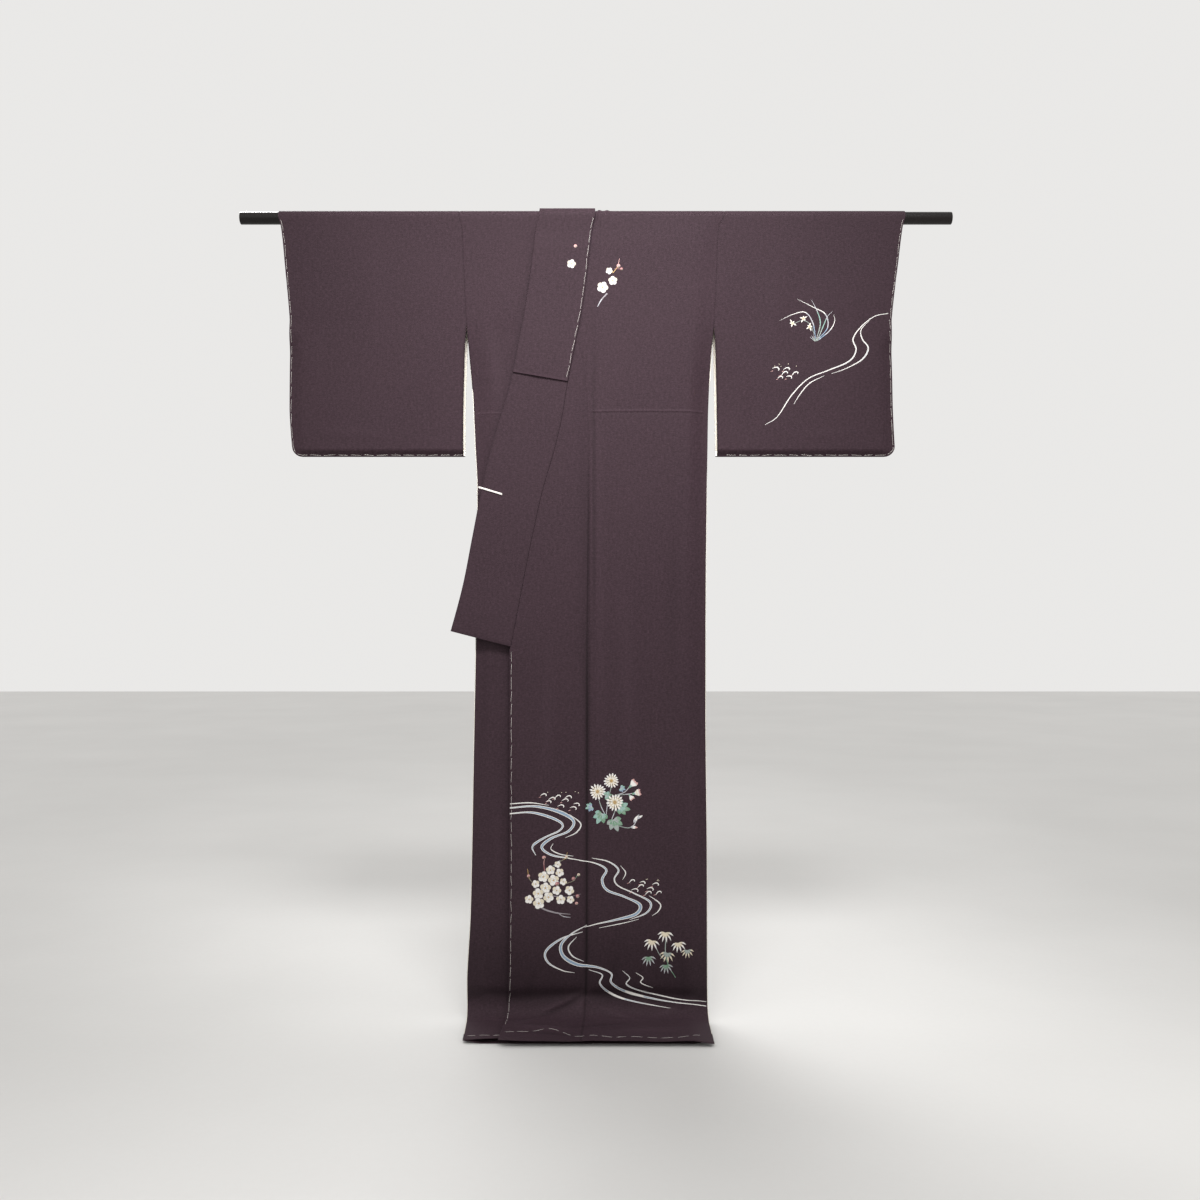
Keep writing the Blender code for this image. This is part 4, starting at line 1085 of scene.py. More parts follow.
def make_collars():
    """The interlined left collar, the over-collar on it, and the folded right collar under the left front."""
    at_rod = float(collar_lift(0, 0))
    worn = swell(np.minimum(COLLAR_SHARES, 1 - COLLAR_SHARES), 0.016)[None, :]
    band = np.linspace(6, 843, 110) * MM
    slant = 30 * MM * ease((band - 400 * MM) / (400 * MM))
    cover = np.linspace(6, 306, 58) * MM
    cover_right = cover * (OVER_COLLAR_RIGHT_DROP / OVER_COLLAR_LEFT_DROP)
    reach = np.concatenate([np.linspace(0.3 * MM, SHOULDER_WRAP, 9), SHOULDER_WRAP + band])[:, None]
    drop = np.maximum(reach - SHOULDER_WRAP, 0)
    x = under_front_edge(drop) + SEAM_GAP + (FOLDED_COLLAR - SEAM_GAP) * COLLAR_SHARES[None, :]
    # the last column: painted shade along the edges where it is below 0; the folded right collar's edges are
    # made paler
    plans = table(
        "name node parts wall rounded wear",
        (
            "collar_left", "left_collar",
            (neck_rows(at_rod, 0.0, NECK_LOOP, 0.0), collar_rows(band - slant, band, collar_lift, 0.0, 0.0)),
            COLLAR_SHELL, 0.5 * MM, -0.25,
        ),
        (
            "collar_cover", "over_collar",
            (
                neck_rows(at_rod, COVER_ABOVE, OVER_COLLAR_BACK_DROP, COVER_INSET),
                collar_rows(cover, cover_right, over_collar_lift, COVER_ABOVE, COVER_INSET),
            ),
            OVER_COLLAR_SHELL, 0.35 * MM, -0.1,
        ),
        (
            "collar_right", "right_collar",
            ((hang(x, reach, under_lift(x, drop) + COLLAR_EXTRA_GAP), x, reach + 0 * x),),
            UNDER_COLLAR_SHELL, 0.35 * MM, 1,
        ),
    )
    made = {}
    for plan in plans:
        points, x, reach = (np.concatenate(parts) for parts in zip(*plan["parts"]))
        rub = np.broadcast_to(worn, x.shape) * plan["wear"]
        # the over-collar's lowest row is made paler, a light line along its lower edge
        if plan["name"] == "collar_cover":
            rub[-1:] = 0.4
        uvs = np.stack([x, reach], axis=-1)
        piece = cloth_shell(plan["name"], points, uvs, rub, plan["wall"], (CREPE,), plan["rounded"])
        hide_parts(plan["node"])
        made[plan["name"]] = piece
    return made


# ---------------------------------------------------------------- sewing
def smooth_path(points, step):
    """Points along a smooth curve through the given ones, about a step apart."""
    points = np.asarray(points, float)
    before = np.vstack([2 * points[0] - points[1], points])
    padded = np.vstack([before, 2 * points[-1] - points[-2]])
    path = [points[0]]
    for i in range(1, len(padded) - 2):
        a, b, c, d = padded[i - 1 : i + 3]
        count = max(int(math.ceil(np.linalg.norm(c - b) / step)), 1)
        for t in np.linspace(0, 1, count + 1)[1:]:
            curve = (c - a) * t + (2 * a - 5 * b + 4 * c - d) * t**2 + (3 * b - a - 3 * c + d) * t**3
            path.append(b + 0.5 * curve)
    return np.array(path)


def along_path(path, start, end, count):
    """Points at even lengths along part of a path."""
    lengths = np.concatenate([[0], np.cumsum(np.linalg.norm(np.diff(path, axis=0), axis=1))])
    at = np.linspace(start, end, count)
    return np.stack([np.interp(at, lengths, column) for column in path.T], axis=-1)


def path_length(path):
    return float(np.sum(np.linalg.norm(np.diff(path, axis=0), axis=1)))


def running_stitches(name, lines, seed, stitch=STITCH, gap=STITCH_GAP):
    """Long basting stitches along lines on the cloth. Each line gives (x, drop) and how that lies."""
    chance = random.Random(seed)
    points, faces, uvs = [], [], []
    stations, sides = STITCH_STATIONS, STITCH_SIDES
    for path, lie in lines:
        total = path_length(path)
        start = 3 * MM
        while start + stitch * 0.6 < total:
            length = min(stitch * chance.uniform(0.78, 1.15), total - start - 1 * MM)
            flat = along_path(path, start, start + length, stations)
            heading = np.gradient(flat, axis=0)
            heading /= np.linalg.norm(heading, axis=1)[:, None]
            beside = beside_of(heading)
            lean = chance.uniform(-0.9, 0.9) * MM
            share = np.linspace(-1, 1, stations)
            height = THREAD_HEIGHT * (0.5 - 0.9 * abs(share) ** 5)
            first = len(points)
            for side in range(sides):
                angle = 2 * math.pi * side / sides
                offset = beside * (THREAD_WIDTH / 2 * math.cos(angle)) + beside * (lean * share)[:, None]
                above = height + THREAD_HEIGHT / 2 * math.sin(angle)
                points += list(lie(flat[:, 0] + offset[:, 0], flat[:, 1] + offset[:, 1], above))
                uvs += [(angle * THREAD_WIDTH / 2, start + length * (s + 1) / 2) for s in share]
            for side in range(sides):
                for i in range(stations - 1):
                    a = first + side * stations + i
                    b = first + (side + 1) % sides * stations + i
                    faces.append((a, b, b + 1, a + 1))
            faces.append(tuple(first + side * stations for side in range(sides))[::-1])
            faces.append(tuple(first + side * stations + stations - 1 for side in range(sides)))
            start += length + gap * chance.uniform(0.7, 1.4)
    mesh = mesh_from(name, points, faces, uvs)
    mesh.materials.append(THREAD)
    return link(bpy.data.objects.new(name, mesh))


def lie_on_front(x, drop, above):
    """A point above the left front, dipping into the overlap seam with the cloth."""
    groove = SEAM_ROLL * swell(x - read(OKUMI_SEAM, "x", drop), SEAM_ROLL_WIDTH)
    groove = groove * okumi_firmness(1, drop)
    lift = over_lift(x, drop) + hem_roll(x, drop, 1) - groove * (drop > OKUMI_START)
    return hang(x, SHOULDER_WRAP + drop, lift + SHELL / 2 + above)


def lie_on_under(x, drop, above):
    """A point above the right front."""
    return hang(x, SHOULDER_WRAP + drop, under_lift(x, drop) + hem_roll(x, drop, 1) + SHELL / 2 + above)


def lie_on_cover(x, drop, above):
    """A point above the over-collar."""
    face = COVER_ABOVE + OVER_COLLAR_SHELL / 2
    return hang(x, SHOULDER_WRAP + drop, over_collar_lift(x, drop) + face + above)


def lie_on_sleeve(name, side):
    """A point above one face of a sleeve."""

    def lie(x, drop, above):
        return hang(x, side * (SHOULDER_WRAP + drop), sleeve_lift(name, x, drop, side) + SHELL / 2 + above)

    return lie


def edge_line(rows, column, inset, start, end, count):
    """A line down beside an edge."""
    down = np.linspace(start, end, count) * MM
    return np.stack([read(rows, column, down) + inset, down], axis=-1)


def hem_line(*points):
    """A line above the hem through points: x, and how far up."""
    return smooth_path([(x * MM, float(hem_drop(x * MM)) - up * MM) for x, up in points], 12 * MM)


def sleeve_line(plan):
    """A line down beside the cuff, round the corner and along the bottom."""
    sign = plan["sign"]
    cuff = edge_line(plan["edges"], "cuff_edge", -sign * STITCH_INSET, 4, 446, 60)
    centre = float(read(plan["edges"], "cuff_edge", SLEEVE_DROP)) - sign * CORNER_RADIUS
    turn = np.linspace(0.25, math.pi / 2, 8)
    radius = CORNER_RADIUS - STITCH_INSET
    across, down = sign * radius * np.cos(turn), radius * np.sin(turn)
    corner = np.stack([centre + across, SLEEVE_DROP - CORNER_RADIUS + down], axis=-1)
    inner = float(read(plan["edges"], "open_edge", SLEEVE_DROP))
    level = SLEEVE_DROP - STITCH_INSET
    return np.concatenate([cuff, corner, [[centre - sign * 20 * MM, level], [inner, level]]])


def make_basting():
    """The tailor's basting that still holds the edges flat."""
    made = {}
    for name, plan in SLEEVES.items():
        path = sleeve_line(plan)
        lines = [(path, lie_on_sleeve(name, 1)), (path, lie_on_sleeve(name, -1))]
        made[f"sleeve_{name}"] = running_stitches(f"basting_sleeve_{name}", lines, 11 + plan["sign"])
    edge = edge_line(FRONT_EDGE, "x", STITCH_INSET, 850, 1640, 90)
    made["overlap_left"] = running_stitches("basting_front", [(edge, lie_on_front)], 21)
    hem = hem_line(
        (-174, 34), (-146, 40), (-118, 44), (-92, 52), (-66, 42), (-36, 18), (-6, 20), (30, 12), (74, 14),
        (116, 11), (160, 13), (186, 24), (211, 30),
    )
    made["body_left"] = running_stitches("basting_hem", [(hem, lie_on_front)], 51, *HEM_STITCH)
    hem = hem_line((-245, 34), (-216, 32), (-192, 29), (-178, 28))
    made["body_right"] = running_stitches("basting_under", [(hem, lie_on_under)], 31, *HEM_STITCH)
    edge = edge_line(COLLAR, "seam", -STITCH_INSET, 2, 318, 50)
    made["collar_cover"] = running_stitches("basting_collar", [(edge, lie_on_cover)], 41)
    return made


def make_tie():
    """The short tape round the collar's free edge, on the collar's face and behind it."""
    edge = float(read(COLLAR, "edge", TIE_DROP))
    face = COLLAR_WALL / 2 + SEAM_GAP + TIE_WALL / 2 + COLLAR_EXTRA_GAP
    rough = (
        # how far inward from the collar's edge in mm, and ahead of its middle as a share of the face's height
        (40, 1), (34, 1.04), (26, 1), (18, 1.05), (10, 1), (1.5, 1), (-4, 0.7), (-6.5, 0), (-4, -0.7),
        (1.5, -1), (12, -1),
    )
    path = smooth_path([(inward * MM, ahead * face) for inward, ahead in rough], 0.9 * MM)
    across = np.array([-1.7, -1.3, -0.7, 0, 0.7, 1.3, 1.7])[None, :] * MM
    inward, ahead = path[:, :1], path[:, 1:]
    x = edge + inward + 0 * across
    drop = TIE_DROP + inward * TIE_FALL / TIE_LENGTH + across
    crown = 0.12 * MM * np.cos(across / (1.7 * MM) * math.pi / 2)
    points = hang(x, SHOULDER_WRAP + drop, collar_lift(np.maximum(x, edge), drop) + ahead + crown)
    uvs = np.stack([across + 0 * x, inward + 0 * x], axis=-1)
    piece = cloth_shell("collar_tape", points, uvs, np.zeros(x.shape), 0.9 * MM, (THREAD,), 0.25 * MM)
    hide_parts("collar_tie")
    return piece


# ---------------------------------------------------------------- dyed pattern
INKS = {
    "white": ink(222, 219, 214), "cream": ink(208, 197, 172), "pearl": ink(170, 170, 176),
    "blue": ink(116, 142, 166), "pink": ink(190, 138, 134), "rose": ink(142, 74, 78),
    "green": ink(86, 130, 100), "sea": ink(120, 162, 150), "mist": ink(132, 144, 138),
    "gold": ink(178, 138, 56), "olive": ink(92, 84, 62), "twig": ink(124, 116, 122),
    "line": ink(92, 80, 88),
}


def beside_of(heading):
    """The direction to the right of a heading."""
    return np.stack([heading[..., 1], -heading[..., 0]], axis=-1)


def toward(x, drop, length, angle):
    """A point at a length and an angle from downwards."""
    turn = math.radians(angle)
    return (x + length * math.sin(turn), drop + length * math.cos(turn))


class Pattern:
    """Flat shapes laid on the cloth, in millimetres right and down from the point that was set last."""

    def __init__(self, name, lie):
        self.name, self.lie = name, lie
        self.points, self.faces, self.uvs, self.inks = [], [], [], []
        self.origin = (0, 0)

    def at(self, x, drop):
        """Sets the point that the shapes drawn next are placed from."""
        self.origin = (x, drop)
        return self

    def patch(self, flat, faces, colours, layer):
        """Points (x, drop) with their faces and a colour each."""
        flat = (np.asarray(flat, float) + self.origin) * MM
        first = len(self.points)
        above = DYE_LIFT + DYE_LAYER * layer
        self.points += [tuple(p) for p in self.lie(flat[:, 0], flat[:, 1], above)]
        self.uvs += [tuple(p) for p in flat]
        self.inks += [(*INKS[name], 1) for name in colours]
        self.faces += [tuple(first + i for i in face) for face in faces]

    def strip(self, middle, beside, half, colours, layer, first=0):
        """A strip of the given half widths on both sides of its middle, its colours spread along it.

        The first corner of its faces sets which way each is split in two.
        """
        count = len(middle)
        flat = np.concatenate([middle + beside * half[:, None], middle - beside * half[:, None]])
        quads = [(i, count + i, count + i + 1, i + 1) for i in range(count - 1)]
        faces = [quad[first:] + quad[:first] for quad in quads]
        share = np.linspace(0, 1, count)
        named = [colours[min(int(s * len(colours)), len(colours) - 1)] for s in share]
        self.patch(flat, faces, named * 2, layer)

    def stroke(self, control, widths, colours, layer):
        """A brush stroke through control points; widths and colours are spread along it."""
        path = smooth_path(control, 2.0)
        heading = np.gradient(path, axis=0)
        heading /= np.maximum(np.linalg.norm(heading, axis=1), 1e-6)[:, None]
        share = np.linspace(0, 1, len(path))
        half = np.interp(share, np.linspace(0, 1, len(widths)), widths) / 2
        self.strip(path, beside_of(heading), half, colours, layer, first=1)

    def petal(self, x, drop, length, width, angle, colours, layer, blunt=0.7):
        """A petal or leaf from its root: the angle is from downwards, the colours from root to tip."""
        along = np.array(toward(0, 0, 1, angle))
        share = np.linspace(0, 1, 8)
        half = width / 2 * np.sin(math.pi * share**blunt) ** 0.8
        middle = np.array([x, drop]) + along * (share * length)[:, None]
        self.strip(middle, beside_of(along), half, colours, layer)

    def spot(self, x, drop, radius, colour, layer):
        """A round spot."""
        angles = np.linspace(0, 2 * math.pi, 13)[:-1]
        ring = np.stack([x + radius * np.cos(angles), drop + radius * np.sin(angles)], axis=-1)
        faces = [(0, 1 + (i + 1) % 12, 1 + i) for i in range(12)]
        self.patch([(x, drop), *ring], faces, [colour] * 13, layer)

    def ribbon(self, layer, points):
        """A ribbon of water through x, drop and width: pale, with a blue heart where it is wide."""
        control, widths = [point[:2] for point in points], [point[2] for point in points]
        self.stroke(control, widths, ("white",), layer)
        self.stroke(control, [max(width - 2.2, 0.02) for width in widths], ("blue",), layer + 0.6)

    def blossom(self, x, drop, radius, turn, layer=2):
        """A plum blossom: five round petals, each finely outlined, veins and a gold heart."""
        self.spot(x, drop, 0.6 * radius, "line", layer)
        for grow, colour, over in ((0.55, "line", 0.1), (0, "white", 0.5)):
            for i in range(5):
                middle = toward(x, drop, 0.54 * radius, turn + 72 * i)
                shade = "cream" if colour == "white" and i % 2 else colour
                self.spot(*middle, 0.45 * radius + grow, shade, layer + over)
        self.spot(x, drop, 0.42 * radius, "white", layer + 0.7)
        for i in range(5):
            vein = (0.6 * radius, 0.1 * radius, turn + 72 * i)
            self.petal(x, drop, *vein, ("mist", "pearl", "white"), layer + 1)
        self.spot(x, drop, 0.15 * radius, "gold", layer + 1.3)

    def bud(self, x, drop, radius, colour, layer=2):
        """A round bud in its calyx."""
        self.spot(x, drop, radius, colour, layer)
        self.spot(x - 0.3 * radius, drop - 0.3 * radius, 0.4 * radius, "pink", layer + 0.4)
        self.spot(x + 0.3 * radius, drop + 0.55 * radius, 0.5 * radius, "olive", layer + 0.6)

    def daisy(self, x, drop, radius, turn, layer):
        """A chrysanthemum: two rings of separate blunt petals round a gold heart."""
        self.spot(x, drop, 0.4 * radius, "mist", layer)
        rings = (
            (15, 1.0, 0.23, ("gold", "cream", "cream", "white", "white")),
            (9, 0.56, 0.19, ("gold", "cream", "white")),
        )
        for ring, (count, size, wide, colours) in enumerate(rings):
            for i in range(count):
                angle = turn + 360 * i / count + 4 * math.sin(7 * i)
                length = radius * size * (1 + 0.07 * math.sin(5 * i + turn))
                self.petal(x, drop, length, wide * radius, angle, colours, layer + 0.4 + 0.4 * ring, 2.2)
        self.spot(x, drop, 0.2 * radius, "gold", layer + 1.2)
        for i in range(6):
            self.spot(*toward(x, drop, 0.12 * radius, 60 * i), 0.04 * radius, "olive", layer + 1.4)

    def lobed_leaf(self, x, drop, size, turn, colours, layer):
        """A chrysanthemum leaf of five blunt lobes with pale veins."""
        lobes = ((-76, 0.62), (76, 0.62), (-38, 0.84), (38, 0.84), (0, 1.0))
        for i, (angle, length) in enumerate(lobes):
            lobe = (colours[i % 2], colours[(i + 1) % 2])
            self.petal(x, drop, size * length, size * 0.4, turn + angle, lobe, layer + 0.15 * i, 1.2)
        for angle, length in lobes:
            tip = toward(x, drop, size * length * 0.74, turn + angle)
            self.stroke([(x, drop), tip], (0.7, 0.25), ("pearl",), layer + 1)

    def bell(self, x, drop, size, turn, colours, layer):
        """A bell-shaped flower side on, from its calyx to the three points of its mouth."""
        for angle, length in ((-15, 0.96), (15, 0.96), (0, 0.9)):
            point = (size * length, size * 0.3, turn + angle)
            self.petal(x, drop, *point, colours, layer + 0.1 * (angle == 0), 2.6)
        self.petal(x, drop, size * 0.36, size * 0.2, turn, ("green", "sea"), layer + 0.5, 0.9)

    def bamboo(self, x, drop, size, turn, colours, layer=1):
        """A fan of drooping narrow bamboo leaves."""
        leaves = ((-82, 0.8), (-50, 0.95), (-20, 1.0), (9, 1.0), (40, 0.98), (76, 0.84))
        for i, (angle, length) in enumerate(leaves):
            bent = turn + angle
            middle = toward(x, drop - 0.05 * size, size * length * 0.55, bent)
            tip = toward(x, drop, size * length, bent * 0.9)
            widths = (0.5, size * 0.19, size * 0.15, 0.2)
            self.stroke([(x, drop), middle, tip], widths, colours, layer + 0.2 * (i % 3))

    def crest(self, x, drop, size, turn, colour, layer):
        """One breaking crest of foam: a fine arch from its tail to its curled tip."""
        shape = ((-1.25, 0.5), (-0.7, 0.0), (-0.05, -0.34), (0.5, -0.26), (0.8, 0.1), (0.58, 0.4))
        c, s = math.cos(math.radians(turn)), math.sin(math.radians(turn))
        line = [(x + size * (a * c - b * s), drop + size * (a * s + b * c)) for a, b in shape]
        self.stroke(line, (0.5, 1.3, 1.9, 2.1, 1.8, 0.9), (colour,), layer)

    def finish(self):
        """The pattern as one piece."""
        mesh = mesh_from(self.name, self.points, self.faces, self.uvs)
        layer = mesh.color_attributes.new("dye", "FLOAT_COLOR", "POINT")
        layer.data.foreach_set("color", np.array(self.inks, np.float32).ravel())
        mesh.materials.append(DYE)
        return link(bpy.data.objects.new(self.name, mesh))


# Ribbons of water on the left front and sleeve: the layer, then each point's x, drop and width
FRONT_WATER = (
    (0, ((-168, 1150, 1.6), (-128, 1149, 2.2), (-92, 1154, 0.6))),
    (1, (
        (-168, 1158, 2.6), (-118, 1156, 3.4), (-72, 1167, 5.2), (-44, 1185, 7.2), (-54, 1205, 5.4),
        (-88, 1219, 3.6), (-106, 1236, 5.6), (-88, 1251, 4), (-54, 1258, 2.2), (-22, 1263, 1),
    )),
    (0, (
        (-168, 1169, 2.2), (-126, 1168, 3), (-88, 1178, 4.8), (-66, 1191, 5.2), (-72, 1204, 3.6),
        (-100, 1217, 3), (-124, 1234, 4.6), (-118, 1252, 1),
    )),
    (0, ((-52, 1172, 0.7), (-30, 1190, 2.4), (-38, 1207, 2.4), (-60, 1218, 0.6))),
    (0, ((-84, 1229, 0.6), (-88, 1240, 2.2), (-70, 1250, 1.8), (-44, 1254, 0.5))),
    (1, (
        (-34, 1262, 1), (-2, 1267, 2.2), (20, 1280, 4.2), (12, 1300, 5), (22, 1320, 4.2), (56, 1333, 3.6),
        (86, 1349, 6.6), (78, 1367, 6), (40, 1378, 3.6), (2, 1386, 2.2), (-22, 1393, 1),
    )),
    (0, (
        (-8, 1257, 0.7), (24, 1264, 2.2), (44, 1280, 3.4), (36, 1298, 2.6), (44, 1312, 2.2), (74, 1326, 2.8),
        (106, 1344, 4.4), (100, 1364, 3), (66, 1378, 0.7),
    )),
    (0, ((48, 1272, 0.6), (58, 1286, 2.2), (52, 1300, 0.6))),
    (0, ((104, 1331, 0.6), (126, 1348, 2.4), (122, 1362, 2.2), (110, 1371, 0.5))),
    (0, ((6, 1394, 0.6), (52, 1385, 1.8), (84, 1377, 0.6))),
    (1, (
        (-18, 1389, 1), (-46, 1405, 3), (-68, 1427, 6.2), (-64, 1450, 7.4), (-38, 1466, 4.8), (2, 1471, 2.8),
        (30, 1484, 4.4), (30, 1502, 5.4), (58, 1520, 3.4), (108, 1534, 2.8), (160, 1544, 2.2),
        (217, 1551.5, 1.4),
    )),
    (0, (
        (-26, 1402, 0.8), (-68, 1416, 2.6), (-98, 1440, 4.6), (-94, 1462, 4), (-66, 1478, 2.2),
        (-42, 1483, 0.6),
    )),
    (0, ((-38, 1412, 0.6), (-54, 1432, 2.6), (-46, 1450, 2.6), (-24, 1460, 0.6))),
    (0, ((-14, 1476, 0.8), (12, 1486, 3), (8, 1504, 4.4), (32, 1526, 3.6), (82, 1543, 2.4), (146, 1558, 0.7))),
    (0, ((52, 1478, 0.7), (66, 1492, 2.8), (60, 1505, 2.6), (88, 1519, 2.2), (146, 1533, 1.8), (217, 1543, 1))),
    (0, ((78, 1482, 0.6), (92, 1492, 2), (88, 1502, 2), (112, 1513, 0.5))),
)
SLEEVE_WATER = (
    (1, (
        (573, 190, 1), (546, 196, 1.5), (520, 216, 2), (504, 240, 2.4), (510, 262, 2.6), (496, 284, 2),
        (454, 302, 1.7), (416, 318, 2), (384, 350, 2), (356, 392, 1.5), (332, 408, 0.6),
    )),
    (0, (
        (536, 204, 0.5), (520, 222, 1.6), (522, 240, 2.4), (534, 258, 3), (522, 280, 2), (490, 298, 1.3),
        (462, 308, 0.5),
    )),
    (0, ((448, 312, 0.5), (420, 326, 1.8), (402, 346, 1.8), (388, 368, 0.5))),
)


def foam(pattern, wide, seed):
    """A drift of foam crests, white over pink, that slants down a little to the right."""
    chance = random.Random(seed)
    count = round(wide / 7.6)
    for i in range(count):
        along = (i + 0.5) / count - 0.5
        x = wide * along + chance.uniform(-2.6, 2.6)
        drop = (-9, 6, -2)[i % 3] + 0.16 * wide * along + chance.uniform(-3, 3)
        size, turn = chance.uniform(4.8, 6.8), chance.uniform(-20, 26)
        tail = [(x - 1.1 * size, drop + 0.7 * size), (x - 1.9 * size, drop + 1.0 * size)]
        pattern.stroke(tail, (0.9, 1.1, 0.4), ("pink",), 1 + 0.1 * i)
        pattern.crest(x, drop, size, turn, "white", 2 + 0.1 * i)
    for i in range(5):
        pattern.spot(chance.uniform(-wide, wide) / 2, chance.uniform(-3, 3) - 17, 0.8, "cream", 1)


# a bough's blossoms: right and down from its middle, the radius and the turn
BLOSSOMS = (
    (15, -42, 6.8, 10), (1, -31, 9.2, 40), (19, -26, 8.4, 66), (-13, -18, 10.8, 22), (7, -11, 11.2, 50),
    (26, -8, 7.2, 5), (-28, -4, 7.8, 58), (-9, 4, 11.0, 30), (13, 9, 9.0, 14), (-23, 15, 10.8, 44),
    (38, 9, 9.4, 0), (-3, 22, 10.4, 70), (-41, 26, 8.6, 25), (-22, 34, 11.4, 52), (21, 27, 9.4, 33),
    (40, 27, 7.6, 8),
)


def plum_bough(pattern):
    """A bough of plum in bloom, with buds and new twigs."""
    bough = [(40, 56), (8, 52), (-20, 40), (-30, 16), (-20, -12), (0, -34), (20, -50)]
    pattern.stroke(bough, (0.8, 3.0, 3.2, 2.4, 1.8, 1.0), ("twig", "line", "mist"), 1)
    for line, widths, colours in (
        (((-26, 24), (4, 20), (34, 22), (60, 16)), (2.2, 1.6, 0.8), ("twig", "line")),
        (((-26, 0), (-40, -14), (-44, -34)), (1.8, 1.4, 0.7), ("olive", "gold")),
        (((-10, -24), (-12, -46), (-8, -58)), (1.5, 1.2, 0.6), ("rose", "pink")),
        (((12, -44), (30, -54), (34, -66)), (1.5, 1.2, 0.6), ("olive", "gold")),
        (((30, -4), (46, -10), (54, -22)), (1.5, 1.2, 0.6), ("olive", "green")),
        (((14, 52), (26, 60), (40, 62)), (1.8, 1.6, 0.7), ("twig", "pearl")),
    ):
        pattern.stroke(line, widths, colours, 1.2)
    for i, blossom in enumerate(BLOSSOMS):
        pattern.blossom(*blossom, 2 + 0.45 * i)
    for bud in (
        (-12, -56, 3.4, "pink"), (46, -14, 3.8, "rose"), (14, -4, 4.0, "rose"), (54, 20, 3.6, "rose"),
        (-42, -20, 3.0, "pink"), (32, -56, 3.2, "cream"), (56, -22, 2.8, "cream"), (52, 34, 3.0, "pink"),
    ):
        pattern.bud(*bud, 8.5)


def chrysanthemums(pattern):
    """Three chrysanthemums over their leaves, with bell-shaped flowers beside them."""
    for stem in (
        ((-18, 30), (-12, 50), (-2, 70)), ((8, 12), (2, 36), (-2, 66)), ((16, 52), (14, 62), (8, 78)),
        ((-2, 44), (14, 30), (34, 22), (46, 8)), ((20, 28), (40, 26), (52, 24)),
        ((20, 88), (42, 92), (54, 84), (62, 66)),
    ):
        pattern.stroke(stem, (1.2, 1.7, 1.2), ("mist", "pearl"), 1)
    for leaf in (
        (-30, 50, 14, -70, ("blue", "sea")), (-10, 64, 23, -28, ("green", "sea")),
        (12, 76, 25, 22, ("green", "mist")), (24, 52, 22, 78, ("sea", "green")),
        (-4, 30, 14, 104, ("sea", "green")), (26, 14, 11, 70, ("sea", "blue")),
    ):
        pattern.lobed_leaf(*leaf, 1.6)
    for flower in ((8, 0, 15, 4, 3), (-19, 21, 16, 13, 4.6), (15, 42, 17, 8, 6.2)):
        pattern.daisy(*flower)
    for bell in (
        (42, 14, 22, 134, ("mist", "pearl", "white", "white", "white", "pink")),
        (48, 26, 20, 104, ("mist", "pearl", "white", "cream", "white", "pink")),
        (42, 26, 15, 38, ("mist", "white", "white", "pink")),
    ):
        pattern.bell(*bell, 3)
    pattern.petal(52, 82, 17, 6.5, 150, ("pearl", "white", "white"), 2)
    pattern.petal(46, 90, 14, 6, 84, ("pearl", "white", "pink"), 2)
    pattern.petal(58, 74, 13, 5, 118, ("pearl", "white"), 2.3)


def orchid(pattern):
    """A clump of orchid: arching leaves, a short tuft, and a spray of small flowers."""
    leaves = (
        ((0, 0), (20, -24), (16, -50), (-8, -64), (-40, -80)),
        ((-2, 0), (6, -34), (-3, -62), (-12, -78)),
        ((-3, 0), (-9, -34), (-24, -54), (-48, -50), (-74, -38)),
        ((1, 0), (12, -28), (20, -46), (30, -56)),
        ((2, 0), (24, -18), (34, -36), (32, -50)),
    )
    for i, leaf in enumerate(leaves):
        colours = ("mist", "sea", "pearl") if i % 2 else ("blue", "pearl", "white", "white")
        pattern.stroke(leaf, (0.8, 2.0, 1.8, 1.2, 0.3), colours, 1 + 0.4 * i)
    for angle in (-64, -50, -36, -20, 14, 32, 50):
        pattern.petal(-4, 3, 15, 1.2, 180 + angle, ("mist", "pearl"), 2, 0.6)
    pattern.stroke([(-6, -12), (-16, -32), (-30, -38), (-50, -30)], (1.0, 1.0, 0.7), ("mist",), 2)
    for x, drop, turn in ((-15, -26, 20), (-27, -42, -30), (-49, -33, 60)):
        for angle, length in ((0, 9.4), (74, 5.6), (150, 8.4), (214, 5.0), (286, 8.0)):
            pattern.petal(x, drop, length, 2.9, turn + angle, ("cream", "white"), 3, 0.9)
        pattern.spot(x, drop, 0.9, "gold", 3.4)


def bamboo_clump(pattern):
    """Fans of bamboo leaves on two thin stems, paler towards the top."""
    pattern.stroke([(4, -32), (2, 4), (8, 32), (22, 56)], (1.4, 1.8, 1.0), ("mist", "green"), 0)
    pattern.stroke([(-22, -16), (-10, 10), (2, 22)], (1.2, 1.2), ("mist",), 0)
    for x, drop, size, turn in (
        (2, -32, 20, 0), (-24, -16, 20, -10), (27, -12, 19, 12), (45, 2, 16, 6), (6, 8, 19, -4),
        (-31, 16, 18, 6), (3, 32, 17, 8),
    ):
        low = ("mist", "cream") if drop < 12 else ("green", "mist", "pearl")
        pattern.bamboo(x, drop, size, turn, ("cream", "white") if drop < 0 else low)


